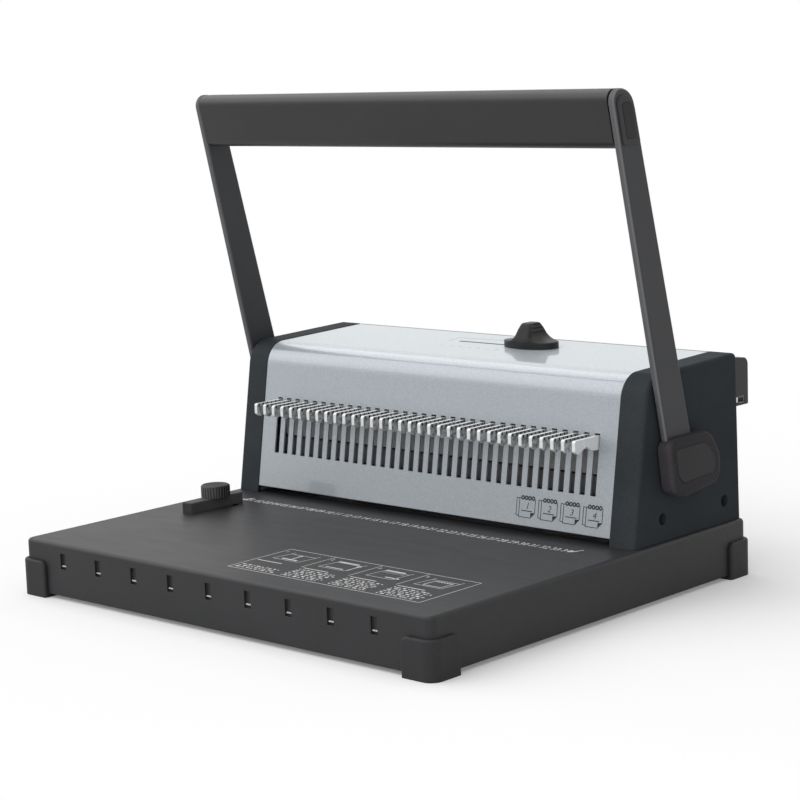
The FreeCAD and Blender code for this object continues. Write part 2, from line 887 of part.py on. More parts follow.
def clamp_bolts():
    seat = guide_plate_top - clamp_head_tall - clamp_head_play
    bolts = []
    for x in clamp_x:
        head = rod_z_axis(x, clamp_y, clamp_head, seat, seat + clamp_head_tall)
        drive = rod_z_axis(x, clamp_y, clamp_drive, seat + clamp_drive_floor, guide_plate_top)
        shank = rod_z_axis(x, clamp_y, clamp_radius, die_low + past, seat)
        bolts.append(head.cut(drive).fuse(shank).removeSplitter())
    return bolts


def guide_posts():
    return [rod_z_axis(side * post_x, post_y, post_radius, sheet_top, post_top) for side in (-1, 1)]


def return_springs():
    """Compression springs on the posts, from the guide plate up into the beam."""
    start = guide_plate_top + spring_wire / 2 + spring_end_play
    rise = beam_low + spring_seat_deep - spring_wire / 2 - spring_end_play - start
    quarters = int(round(spring_turns * 4))

    def on_coil(quarter):
        angle = quarter * math.pi / 2
        return V(spring_radius * math.cos(angle), spring_radius * math.sin(angle), rise * quarter / quarters)

    arcs = [Part.Arc(on_coil(i), on_coil(i + 0.5), on_coil(i + 1)).toShape() for i in range(quarters)]
    heading = arcs[0].tangentAt(arcs[0].FirstParameter)
    section = Part.Wire(Part.makeCircle(spring_wire / 2, on_coil(0), heading))
    coil = Part.Wire(arcs).makePipeShell([section], True, False)
    springs = []
    for side in (-1, 1):
        spring = coil.copy()
        spring.translate(V(side * post_x, post_y, start))
        springs.append(spring)
    return springs


def punch_beam():
    beam = box(-beam_half, beam_half, beam_front, beam_rear, beam_low, beam_high)
    low = beam_low - past
    seat = spring_radius + spring_wire / 2 + spring_play
    holes = [rod_z_axis(x, pin_row, pin_radius + press_play, low, beam_low + pin_bite)
             for x in pin_places()]
    for side in (-1, 1):
        x = side * post_x
        holes.append(rod_z_axis(x, post_y, post_radius + post_play, low, beam_high + past))
        holes.append(rod_z_axis(x, post_y, seat, low, beam_low + spring_seat_deep))
    return beam.cut(holes)


def punch_pins():
    return [rod_z_axis(x, pin_row, pin_radius, pin_tip, beam_low + pin_bite) for x in pin_places()]


def involute_rest_point(base, turned, length, direction):
    """Cam point, at rest, that meets the follower after the shaft has turned."""
    c = math.cos(turned)
    s = math.sin(turned)
    if direction == "down":
        return -base * c - length * s, base * s - length * c
    return length * c - base * s, -length * s - base * c


def cam(base, rest_reach, first, direction, close, x_middle):
    """Involute lobe on a hub: the follower moves by base per radian, all the way."""
    last = handle_swing + cam_lead
    points = []
    for i in range(cam_steps + 1):
        turned = first + (last - first) * i / cam_steps
        length = rest_reach - cam_play + base * turned
        y, z = involute_rest_point(base, turned, length, direction)
        points.append(V(0, pivot_y + y, pivot_z + z))
    curve = Part.BSplineCurve()
    curve.interpolate(points)
    hub_point = V(0, pivot_y + close[0], pivot_z + close[1])
    middle = V(0, pivot_y, pivot_z)
    edges = [curve.toShape()]
    for start, end in ((points[-1], hub_point), (hub_point, middle), (middle, points[0])):
        edges.append(Part.LineSegment(start, end).toShape())
    lobe = Part.Face(Part.Wire(edges)).extrude(V(cam_thick, 0, 0))
    hub = rod_x(pivot_y, pivot_z, cam_hub, 0.0, cam_thick)
    bore = rod_x(pivot_y, pivot_z, shaft_radius + press_play, -past, cam_thick + past)
    pin_bore = rod_z_axis(cam_thick / 2, pivot_y, cam_pin_radius, pivot_z - cam_pin_reach,
                          pivot_z + cam_pin_reach)
    shape = lobe.fuse(hub).removeSplitter().cut([bore, pin_bore])
    shape.translate(V(x_middle - cam_thick / 2, 0, 0))
    return shape


def punch_cams():
    base = punch_stroke / handle_swing
    reach = pivot_z - beam_high
    return [cam(base, reach, punch_cam_start, "down", punch_cam_close, side * punch_cam_x)
            for side in (-1, 1)]


def closer_cams():
    base = closer_stroke / handle_swing
    reach = jaw_front - pivot_y
    return [cam(base, reach, closer_cam_start, "back", closer_cam_close, side * closer_cam_x)
            for side in (-1, 1)]


def cam_pins():
    """Roll pins through each hub and the shaft."""
    reach = cam_hub - cam_pin_short
    pins = []
    for x in (punch_cam_x, closer_cam_x):
        for side in (-1, 1):
            pins.append(rod_z_axis(side * x, pivot_y, cam_pin_radius - press_play, pivot_z - reach,
                                   pivot_z + reach))
    return pins


def pivot_shaft():
    """Round shaft with a square at each end for the arms."""
    round_part = rod_x(pivot_y, pivot_z, shaft_radius, -shaft_end, shaft_end)
    half = shaft_square / 2
    square = box(-arm_outer, arm_outer, pivot_y - half, pivot_y + half, pivot_z - half, pivot_z + half)
    bore = rod_x(pivot_y, pivot_z, pivot_screw_radius + press_play, arm_outer - pivot_screw_bite - past,
                 arm_outer + past)
    removed = [bore, mirrored(bore)]
    for side in (-1, 1):
        for x in (punch_cam_x, closer_cam_x):
            removed.append(rod_z_axis(side * x, pivot_y, cam_pin_radius, pivot_z - cam_pin_reach,
                                      pivot_z + cam_pin_reach))
    return round_part.fuse(square).cut(removed)


def shaft_bushings():
    far = frame_outer + bush_flange_thick
    sleeve = rod_x(pivot_y, pivot_z, bush_radius, frame_inner, frame_outer)
    flange = rod_x(pivot_y, pivot_z, bush_flange, frame_outer, far)
    bore = rod_x(pivot_y, pivot_z, shaft_radius + bush_play, frame_inner - past, far + past)
    bush = sleeve.fuse(flange).removeSplitter().cut(bore)
    return [bush, mirrored(bush)]


def arm_front(z):
    return arm_front_y - arm_front_lean * (z - arm_datum_z)


def arm_rear(z):
    return arm_rear_y - arm_rear_lean * (z - arm_datum_z)


def arm_profile(play):
    return (
        (arm_front(arm_foot_z) - play, arm_foot_z - play, arm_foot_round),
        (arm_rear(arm_foot_z) + play, arm_foot_z - play, arm_foot_round),
        (arm_rear(arm_top) + play, arm_top + play, arm_top_round),
        (arm_front(arm_top) - play, arm_top + play, arm_nose_round),
    )


def arm():
    """Right arm: a flat tapering bar with a hub at the pivot."""
    bar = prism_x(arm_profile(0.0), arm_inner, arm_outer)
    long_edges = [e for e in bar.Edges if e.Length > (arm_top - arm_foot_z) / 2]
    bar = bar.makeFillet(arm_edge, long_edges)
    hub = rod_x(pivot_y, pivot_z, arm_hub, arm_inner, arm_outer)
    left = arm_inner - past
    right = arm_outer + past
    half = shaft_square / 2 + square_play
    square = box(left, right, pivot_y - half, pivot_y + half, pivot_z - half, pivot_z + half)
    screw = rod_x(rod_y, rod_z, rod_screw + hole_play, left, right)
    head = rod_x(rod_y, rod_z, rod_screw_head + rod_screw_play,
                 arm_outer - rod_screw_head_tall - rod_screw_sunk, right)
    return bar.fuse(hub).cut([square, screw, head]).removeSplitter()


def grip_outline(inset):
    """Side outline of the grip, moved inwards all round."""
    low = grip_low + inset
    high = arm_top - grip_drop - inset
    front = inset * math.hypot(1.0, arm_front_lean)
    rear = grip_deep - front
    radius = grip_round - inset
    return (
        (arm_front(low) + front, low, radius),
        (arm_front(low) + rear, low, radius),
        (arm_front(high) + rear, high, radius),
        (arm_front(high) + front, high, grip_nose_round - inset),
    )


def grip_bar():
    """Hollow moulded grip with webs that hold the steel rod."""
    far = arm_inner + past
    shell = prism_x(grip_outline(0.0), -arm_inner, arm_inner)
    shell = shell.cut(prism_x(grip_outline(grip_wall), -far, far))
    webs = []
    for i in range(grip_web_count):
        x = (i - (grip_web_count - 1) / 2.0) * grip_web_pitch
        webs.append(prism_x(grip_outline(grip_wall - grip_web_lap), x - grip_web_thick / 2,
                            x + grip_web_thick / 2))
    bore = rod_x(rod_y, rod_z, grip_rod + rod_play, -far, far)
    return shell.fuse(webs).cut(bore).removeSplitter()


def grip_rod_piece():
    rod = rod_x(rod_y, rod_z, grip_rod, -arm_inner, arm_inner)
    bore = rod_x(rod_y, rod_z, rod_screw + press_play, arm_inner - rod_screw_bite, arm_inner + past)
    return rod.cut([bore, mirrored(bore)])


def grip_screws():
    """Screws from the arms into the rod, their heads sunk in the arms."""
    top = arm_outer - rod_screw_sunk
    seat = top - rod_screw_head_tall
    head = rod_x(rod_y, rod_z, rod_screw_head, seat, top)
    shank = rod_x(rod_y, rod_z, rod_screw, arm_inner - rod_screw_bite + rod_screw_short, seat)
    screw = head.fuse(shank).removeSplitter()
    return [screw, mirrored(screw)]


def badge_outline(play):
    middle_low = arm_front(badge_low) + badge_middle
    middle_high = arm_front(badge_high) + badge_middle
    half = badge_wide / 2 + play
    return (
        (middle_low - half, badge_low - play, badge_round),
        (middle_low + half, badge_low - play, badge_round),
        (middle_high + half, badge_high + play, badge_high_round),
        (middle_high - half, badge_high + play, badge_round),
    )


def grip_cap():
    """Thin raised plate on the arm's outer top, recessed for its badge."""
    outer = arm_outer + cap_thick
    outline = (
        (arm_front(cap_low) + cap_inset, cap_low, cap_low_round),
        (arm_rear(cap_low) - cap_inset, cap_low, cap_low_round),
        (arm_rear(cap_high) - cap_inset, cap_high, arm_top_round - cap_inset),
        (arm_front(cap_high) + cap_inset, cap_high, arm_nose_round - cap_inset),
    )
    plate = prism_x(outline, arm_outer, outer)
    rim = [e for e in plate.Edges if e.BoundBox.XMin > outer - tiny]
    plate = plate.makeFillet(cap_edge, rim)
    return plate.cut(prism_x(badge_outline(badge_gap), outer - badge_deep, outer + past))


def grip_badges():
    outer = arm_outer + cap_thick
    plate = prism_x(badge_outline(0.0), outer - badge_deep, outer + badge_proud)
    return [plate, mirrored(plate)]


def pivot_cover():
    """Cover over the arm's lower end, hollow for the arm and the pivot screw."""
    block = prism_x(moved(boss_outline, pivot_y, pivot_z), boss_inner, boss_outer)
    rim = [e for e in block.Edges if e.BoundBox.XMin > boss_outer - tiny]
    block = block.makeFillet(boss_edge, rim)
    left = boss_inner - past
    floor = arm_outer + pocket_floor_play
    ledge = boss_outer - boss_cap_deep
    pocket = prism_x(arm_profile(arm_pocket_play), left, floor)
    hub = rod_x(pivot_y, pivot_z, arm_hub + arm_pocket_play, left, floor)
    room = rod_x(pivot_y, pivot_z, pivot_screw_head + screw_room, left, ledge + lap)
    recess = prism_x(moved(boss_cap_outline, pivot_y, pivot_z), ledge, boss_outer + past)
    return block.cut([pocket, hub, room, recess])


def pivot_cap():
    """Inset panel over the pivot screw."""
    middle_a = sum(corner[0] for corner in boss_cap_outline) / len(boss_cap_outline)
    middle_b = sum(corner[1] for corner in boss_cap_outline) / len(boss_cap_outline)
    outline = []
    for a, b, radius in boss_cap_outline:
        scale = 1.0 - boss_cap_gap / math.hypot(a - middle_a, b - middle_b)
        outline.append((middle_a + (a - middle_a) * scale, middle_b + (b - middle_b) * scale, radius))
    high = boss_outer + boss_cap_proud
    plate = prism_x(moved(outline, pivot_y, pivot_z), boss_outer - boss_cap_deep, high)
    rim = [e for e in plate.Edges if e.BoundBox.XMin > high - tiny]
    return plate.makeFillet(boss_cap_edge, rim)


def pivot_screws():
    top = arm_outer + pivot_screw_head_tall
    head = rod_x(pivot_y, pivot_z, pivot_screw_head, arm_outer, top)
    drive = rod_x(pivot_y, pivot_z, pivot_screw_drive, arm_outer + pivot_screw_drive_floor, top + past)
    shank = rod_x(pivot_y, pivot_z, pivot_screw_radius, arm_outer - pivot_screw_bite, arm_outer)
    screw = head.cut(drive).fuse(shank).removeSplitter()
    return [screw, mirrored(screw)]


def hook_carrier():
    rear = carrier_front + carrier_thick
    plate = box(-carrier_half, carrier_half, carrier_front, rear, carrier_low, carrier_high)
    tabs = box(-frame_inner, frame_inner, carrier_front, rear, carrier_tab_low, carrier_high)
    return plate.fuse(tabs).removeSplitter()


def binding_hooks():
    outline = moved(hook_outline, carrier_front, hook_top)
    return [prism_x(outline, x - hook_thick / 2, x + hook_thick / 2) for x in pin_places()]


def slider_bracket():
    """Bridge plate between the side frames that carries the slider."""
    top = bracket_low + bracket_thick
    plate = box(-frame_inner, frame_inner, bracket_front, bracket_rear, bracket_low, top)
    tab = box(frame_inner - bracket_thick, frame_inner, bracket_front, bracket_rear,
              bracket_low - bracket_tab_drop, top)
    return plate.fuse([tab, mirrored(tab)]).removeSplitter()


def slider_carriage():
    """Plate under the top with the stem and the wedge edge at its back."""
    left = slider_x - carriage_half
    right = slider_x + carriage_half
    outline = (
        (left, carriage_front, 0.0),
        (right, carriage_front, 0.0),
        (right, carriage_rear + wedge_slope * carriage_half, 0.0),
        (left, carriage_rear - wedge_slope * carriage_half, 0.0),
    )
    plate = prism_z(outline, carriage_low, carriage_high)
    half = slider_stem_long / 2
    deep = slider_slot_wide / 2 - slider_stem_play
    stem = box(slider_x - half, slider_x + half, slider_slot_y - deep, slider_slot_y + deep,
               carriage_high - lap, top_line(slider_y) + slider_stem_rise)
    return plate.fuse(stem).removeSplitter()


def size_stop():
    """Plate pushed back by the wedge, with the lug that meets the jaw."""
    front_left = carriage_rear + wedge_slope * (stop_left - slider_x) + slide_gap
    front_right = carriage_rear + wedge_slope * (stop_right - slider_x) + slide_gap
    outline = (
        (stop_left, front_left, 0.0),
        (stop_right, front_right, 0.0),
        (stop_right, size_stop_rear, 0.0),
        (stop_left, size_stop_rear, 0.0),
    )
    plate = prism_z(outline, carriage_low, carriage_high)
    half = size_stop_lug_long / 2
    lug = box(-half, half, size_stop_rear - size_stop_lug_thick, size_stop_rear, size_stop_lug_low,
              carriage_high)
    return plate.fuse(lug).removeSplitter()


def ellipse_wire(long_half, deep_half, shift_y, z):
    ring = Part.Ellipse(V(0, shift_y, z), long_half, deep_half)
    return Part.Wire(ring.toShape())


def slider_knob():
    """Flared thumb knob: a flat rim below a hump that narrows upwards."""
    rings = [ellipse_wire(knob_long * long, knob_deep * deep, shift, knob_tall * rise)
             for long, deep, shift, rise in knob_levels]
    skirt = Part.makeLoft(rings[:2], True)
    hump = Part.makeLoft(rings[1:], True)
    half = slider_stem_long / 2 + slider_socket_play
    deep = slider_slot_wide / 2 - slider_stem_play + slider_socket_play
    shift = slider_slot_y - slider_y
    socket = box(-half, half, shift - deep, shift + deep, -past, slider_socket_deep)
    knob = skirt.fuse(hump).removeSplitter().cut(socket)
    knob.rotate(V(0, 0, 0), V(1, 0, 0), math.degrees(math.atan(top_rise)))
    knob.translate(V(slider_x, slider_y, top_line(slider_y) + knob_lift))
    return knob


def closer_jaw():
    """Flat steel plate: a neck through the rear cover and a wide tip behind it."""
    neck = box(-jaw_inner_half, jaw_inner_half, jaw_front, jaw_tip, jaw_low, jaw_high)
    tip = box(-jaw_outer_half, jaw_outer_half, jaw_neck_rear, jaw_tip, jaw_low, jaw_high)
    half = size_stop_lug_long / 2
    dog_rear = size_stop_rear - size_stop_lug_thick - closer_stroke - jaw_dog_play
    dog = box(-half, half, dog_rear - size_stop_lug_thick, dog_rear, jaw_high - lap,
              size_stop_lug_low + jaw_dog_lap)
    return neck.fuse([tip, dog]).removeSplitter()


def jaw_followers():
    half = follower_wide / 2
    return [box(side * closer_cam_x - half, side * closer_cam_x + half, jaw_front,
                jaw_front + follower_thick, follower_low, jaw_low) for side in (-1, 1)]


def jaw_rails():
    high = jaw_low - slide_gap
    rail = box(frame_inner - rail_reach, frame_inner, rail_front, rail_rear, high - rail_tall, high)
    return [rail, mirrored(rail)]


def hood_profile():
    return (
        (hood_front, hood_top, hood_front_round),
        (hood_rear, hood_top - hood_top_drop, hood_round),
        (hood_rear, hood_low, hood_low_round),
    )


def closer_hood():
    """Cover along the back: front flange, top and rear wall round the wire channel."""
    front = hood_front + hood_wall
    rear = hood_rear - hood_wall
    outline = ((hood_front, hood_front_low, 0.0),) + hood_profile() + (
        (rear, hood_low, 0.0),
        (rear, hood_top - hood_top_drop - hood_wall, hood_round - hood_wall),
        (front, hood_top - hood_wall, hood_low_round),
        (front, hood_front_low, 0.0),
    )
    hood = prism_x(outline, -hood_half, hood_half)
    holes = [rod_y_axis(x, hood_screw_z, screw_shank + hole_play, hood_front - past, front + past)
             for x in hood_screw_x]
    return hood.cut(holes)


def hood_screws():
    inside = hood_front + hood_wall
    tip = rear_line(hood_screw_z) - hood_screw_bite
    screws = []
    for x in hood_screw_x:
        head = rod_y_axis(x, hood_screw_z, screw_head, inside, inside + hood_screw_head_tall)
        shank = rod_y_axis(x, hood_screw_z, screw_shank, tip, inside)
        screws.append(head.fuse(shank).removeSplitter())
    return screws


def closer_end_cap():
    """Right end of the closer, slotted for the jaw's end."""
    outline = hood_profile() + ((hood_front, hood_low, 0.0),)
    block = prism_x(outline, hood_half, closer_half)
    rear = jaw_tip + closer_stroke + cap_slot_play
    slot = box(hood_half - past, closer_half + past, hood_front - past, rear, jaw_low - cap_slot_play,
               jaw_high + cap_slot_play)
    return block.cut(slot)


def closer_anvil():
    rear = hood_rear - hood_wall
    half = hood_half - anvil_short
    return box(-half, half, rear - anvil_thick, rear, anvil_low, anvil_high)


def edge_guide():
    """Bar that the sheets lie against, with the peg that keeps it square."""
    half = guide_wide / 2
    outline = rectangle(guide_x - half, guide_x + half, guide_front, guide_rear, guide_corner)
    bar = prism_z(outline, guide_low, guide_high)
    rim = [e for e in bar.Edges if e.BoundBox.ZMin > guide_high - tiny]
    bar = bar.makeFillet(guide_round, rim)
    peg = rod_z_axis(guide_x, guide_peg_y, guide_peg, guide_peg_low, guide_low + lap)
    hole = rod_z_axis(guide_x, guide_y, stud_radius + stud_play, guide_low - past, guide_high + past)
    return bar.fuse(peg).cut(hole).removeSplitter()


def guide_knob_piece():
    """Round clamp knob with a knurled rim."""
    high = guide_knob_low + guide_knob_tall
    knob = rod_z_axis(guide_x, guide_y, guide_knob, guide_knob_low, high)
    rim = [e for e in knob.Edges if e.BoundBox.ZMin > high - tiny]
    knob = knob.makeChamfer(guide_knob_edge, rim)
    bore = rod_z_axis(guide_x, guide_y, stud_radius + guide_gap, guide_knob_low - past, stud_high + guide_gap)
    grooves = [bore]
    for i in range(knurl_count):
        angle = 2 * math.pi * i / knurl_count
        x = guide_x + guide_knob * math.cos(angle)
        y = guide_y + guide_knob * math.sin(angle)
        grooves.append(rod_z_axis(x, y, knurl_radius, guide_knob_low - past, high + past))
    return knob.cut(grooves)


def guide_stud():
    """Stud held in the nut, which the clamp knob turns on."""
    low = under_deck - guide_nut_tall - stud_below
    return rod_z_axis(guide_x, guide_y, stud_radius, low, stud_high)


def guide_nut_piece():
    half = guide_nut / 2
    high = under_deck - guide_nut_play
    low = high - guide_nut_tall
    nut = box(guide_x - half, guide_x + half, guide_y - half, guide_y + half, low, high)
    return nut.cut(rod_z_axis(guide_x, guide_y, stud_radius + guide_gap, low - past, high + past))


def chip_drawer():
    """Open tray whose face closes the opening in the base's left wall."""
    back = drawer_left + drawer_face_thick
    rim = drawer_high + drawer_gap
    tray = box(back - lap, drawer_right, drawer_front, drawer_rear, drawer_low, drawer_high)
    hollow = box(back, drawer_right - drawer_wall, drawer_front + drawer_wall,
                 drawer_rear - drawer_wall, drawer_low + drawer_wall, drawer_high + past)
    face = box(drawer_left, back, drawer_front - drawer_face_edge, drawer_rear + drawer_face_edge,
               drawer_low, rim)
    middle = (drawer_front + drawer_rear) / 2
    scoop = rod_x(middle, rim + past, drawer_grip_radius, drawer_left - past, back + past)
    return tray.cut(hollow).fuse(face).cut(scoop).removeSplitter()


def drawer_rails():
    """Two side rails and the stop behind the drawer."""
    start = drawer_right + drawer_gap
    end = start + drawer_stop_long
    high = plate_top + drawer_rail_tall
    front = drawer_front - drawer_gap
    rear = drawer_rear + drawer_gap
    return [
        box(drawer_rail_left, end, front - drawer_rail_wide, front, plate_top, high),
        box(drawer_rail_left, end, rear, rear + drawer_rail_wide, plate_top, high),
        box(start, end, drawer_front, drawer_rear, plate_top, high),
    ]


def build():
    right_cheek = cheek()
    right_frame = side_frame()
    right_arm = arm()
    right_grip_cap = grip_cap()
    right_cover = pivot_cover()
    right_cap = pivot_cap()
    right_end = closer_end_cap()
    nodes = {
        "base_shell": base_shell(),
        "corner_feet": corner_feet(),
        "keeper_tabs": keeper_tabs(),
        "bottom_plate": bottom_plate(),
        "bottom_screws": bottom_screws(),
        "right_cheek": right_cheek,
        "left_cheek": mirrored(right_cheek),
        "cheek_screws": cheek_screws(),
        "front_cover": front_cover(),
        "rear_cover": rear_cover(),
        "right_side_frame": right_frame,
        "left_side_frame": mirrored(right_frame),
        "tie_rods": tie_rods(),
        "frame_bolts": frame_bolts(),
        "die_plate": die_plate(),
        "depth_stop": depth_stop(),
        "punch_guide_plate": punch_guide_plate(),
        "clamp_bolts": clamp_bolts(),
        "guide_posts": guide_posts(),
        "return_springs": return_springs(),
        "punch_beam": punch_beam(),
        "punch_pins": punch_pins(),
        "punch_cams": punch_cams(),
        "closer_cams": closer_cams(),
        "cam_pins": cam_pins(),
        "pivot_shaft": pivot_shaft(),
        "shaft_bushings": shaft_bushings(),
        "right_arm": right_arm,
        "left_arm": mirrored(right_arm),
        "grip_bar": grip_bar(),
        "grip_rod": grip_rod_piece(),
        "grip_screws": grip_screws(),
        "right_grip_cap": right_grip_cap,
        "left_grip_cap": mirrored(right_grip_cap),
        "grip_badges": grip_badges(),
        "right_pivot_cover": right_cover,
        "left_pivot_cover": mirrored(right_cover),
        "right_pivot_cap": right_cap,
        "left_pivot_cap": mirrored(right_cap),
        "pivot_screws": pivot_screws(),
        "hook_carrier": hook_carrier(),
        "binding_hooks": binding_hooks(),
        "slider_bracket": slider_bracket(),
        "slider_carriage": slider_carriage(),
        "size_stop": size_stop(),
        "slider_knob": slider_knob(),
        "closer_jaw": closer_jaw(),
        "jaw_followers": jaw_followers(),
        "jaw_rails": jaw_rails(),
        "closer_hood": closer_hood(),
        "hood_screws": hood_screws(),
        "right_closer_cap": right_end,
        "left_closer_cap": mirrored(right_end),
        "closer_anvil": closer_anvil(),
        "edge_guide": edge_guide(),
        "guide_knob": guide_knob_piece(),
        "guide_stud": guide_stud(),
        "guide_nut": guide_nut_piece(),
        "chip_drawer": chip_drawer(),
        "drawer_rails": drawer_rails(),
    }
    for name, shape in nodes.items():
        save(name, shape)


build()
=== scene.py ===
import bmesh
import bpy
import json
import math
from mathutils import Matrix, Vector


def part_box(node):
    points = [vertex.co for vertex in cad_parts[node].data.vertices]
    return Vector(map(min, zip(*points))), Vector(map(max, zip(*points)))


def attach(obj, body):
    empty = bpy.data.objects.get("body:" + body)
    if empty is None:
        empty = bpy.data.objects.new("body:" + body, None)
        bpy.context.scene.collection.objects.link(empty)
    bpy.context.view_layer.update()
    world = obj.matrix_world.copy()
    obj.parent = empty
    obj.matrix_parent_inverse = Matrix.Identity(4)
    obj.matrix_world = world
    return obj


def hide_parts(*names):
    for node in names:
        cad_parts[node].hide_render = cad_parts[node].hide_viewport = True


# Wire binding machine: its finishes, its plain prints and thumb knob, and a pale studio round it.
# Metres, in the part's own frame: X to the right, Y to the back, Z up.

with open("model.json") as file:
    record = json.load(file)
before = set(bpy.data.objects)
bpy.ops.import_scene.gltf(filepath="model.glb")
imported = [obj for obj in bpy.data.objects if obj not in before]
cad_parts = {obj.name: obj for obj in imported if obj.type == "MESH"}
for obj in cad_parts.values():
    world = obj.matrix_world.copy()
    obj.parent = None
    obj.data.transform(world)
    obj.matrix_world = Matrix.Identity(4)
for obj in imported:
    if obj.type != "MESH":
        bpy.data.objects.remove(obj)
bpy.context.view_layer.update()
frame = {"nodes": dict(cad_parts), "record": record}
MM = 0.001


class Link:
    """One output of a shader tree. Arithmetic on it adds Math nodes to that tree."""

    def __init__(self, tree, socket):
        self.tree = tree
        self.socket = socket

    def math(self, operation, *others):
        return self.tree.math(operation, self, *others)

    def __add__(self, other):
        return self.math("ADD", other)

    def __sub__(self, other):
        return self.math("SUBTRACT", other)

    def __rsub__(self, other):
        return self.tree.math("SUBTRACT", other, self)

    def __mul__(self, other):
        return self.math("MULTIPLY", other)

    __radd__ = __add__
    __rmul__ = __mul__

    def clamped(self):
        return self.tree.add("ShaderNodeClamp", sockets={"Value": self})


class Tree:
    """A shader tree that starts empty."""

    def __init__(self, tree):
        self.tree = tree
        tree.nodes.clear()

    def add(self, kind, settings=None, sockets=None, out=0):
        """Adds a node: its settings first, then its sockets' values and links.

        Gives one of its outputs, unless it is a node that has none."""
        node = self.tree.nodes.new(kind)
        for name, value in (settings or {}).items():
            setattr(node, name, value)
        for key, value in (sockets or {}).items():
            if isinstance(value, Link):
                self.tree.links.new(value.socket, node.inputs[key])
            else:
                node.inputs[key].default_value = value
        if node.outputs:
            return Link(self, node.outputs[out])

    def math(self, operation, *values):
        return self.add("ShaderNodeMath", {"operation": operation}, dict(enumerate(values)))


class Paint(Tree):
    """A material's shader tree, which starts from the place and the facing of each point."""

    def __init__(self, name):
        self.material = bpy.data.materials.new(name)
        self.material.use_nodes = True
        super().__init__(self.material.node_tree)
        self.spot = self.add("ShaderNodeTexCoord", out="Object")
        self.facing = self.add("ShaderNodeTexCoord", out="Normal")

    def parts(self, vector):
        """The X, Y and Z of a vector as three numbers."""
        node = self.add("ShaderNodeSeparateXYZ", sockets={"Vector": vector}).socket.node
        return [Link(self, output) for output in node.outputs]

    def stretched(self, x, y, z):
        """The object's own place, stretched along its axes."""
        sockets = {0: self.spot, 1: (x, y, z)}
        return self.add("ShaderNodeVectorMath", {"operation": "MULTIPLY"}, sockets)

    def scaled(self, tone, share):
        """A colour made lighter or darker by a number that varies over the surface."""
        sockets = {0: tone, "Scale": share}
        return self.add("ShaderNodeVectorMath", {"operation": "SCALE"}, sockets)

    def noise(self, size, detail=2.0, rough=0.5, place=None):
        """Soft noise from 0 to 1 whose blotches are about size metres wide."""
        sockets = {"Vector": place or self.spot, "Scale": 1.0 / size, "Detail": detail,
                   "Roughness": rough}
        return self.add("ShaderNodeTexNoise", sockets=sockets)

    def cells(self, size, out="Distance"):
        """Cells about size metres wide: the distance to their middles, or a colour for each."""
        sockets = {"Vector": self.spot, "Scale": 1.0 / size}
        return self.add("ShaderNodeTexVoronoi", sockets=sockets, out=out)

    def spread(self, value, low, high, to_low=0.0, to_high=1.0):
        """Value's stretch from low to high, mapped to another and held at its ends."""
        sockets = {"Value": value, "From Min": low, "From Max": high, "To Min": to_low,
                   "To Max": to_high}
        return self.add("ShaderNodeMapRange", sockets=sockets)

    def blend(self, factor, first, second):
        """A colour between two colours."""
        sockets = {0: factor, 6: first, 7: second}
        return self.add("ShaderNodeMix", {"data_type": "RGBA"}, sockets, out=2)

    def edges(self, radius):
        """The surface's normal with its edges rounded off."""
        return self.add("ShaderNodeBevel", {"samples": 4}, {"Radius": radius})

    def rubbed(self, rounded):
        """A mask of the edges: where the rounded normal leaves the plain one."""
        plain = self.add("ShaderNodeNewGeometry", out="Normal")
        sockets = {0: rounded, 1: plain}
        along = self.add("ShaderNodeVectorMath", {"operation": "DOT_PRODUCT"}, sockets, out=1)
        return self.spread(1 - along, 0.02, 0.25)

    def ahead(self, share):
        """1 on most faces, share on those turned to the front: painted light where share is above
        1, painted shade where it is below.
        """
        return self.spread(self.parts(self.facing)[1] * -1.0, 0.25, 0.85, 1.0, share)

    def relief(self, height, depth, rounded):
        """The rounded normal, bumped: height from 0 to 1 stands for depth metres."""
        sockets = {"Height": height, "Distance": depth, "Normal": rounded}
        return self.add("ShaderNodeBump", sockets=sockets)

    def end(self, **sockets):
        """The Principled shader. Its sockets are named with _ where their names have spaces."""
        named = {key.replace("_", " "): value for key, value in sockets.items()}
        shader = self.add("ShaderNodeBsdfPrincipled", sockets=named, out="BSDF")
        self.add("ShaderNodeOutputMaterial", sockets={"Surface": shader})
        return self.material


def colour(red, green, blue):
    return (red, green, blue, 1.0)


def grey(level):
    return colour(level, level, level)


def shade(tone, share):
    """A colour made lighter or darker by the same share all over."""
    return colour(*(min(1.0, channel * share) for channel in tone[:3]))


# Plastics

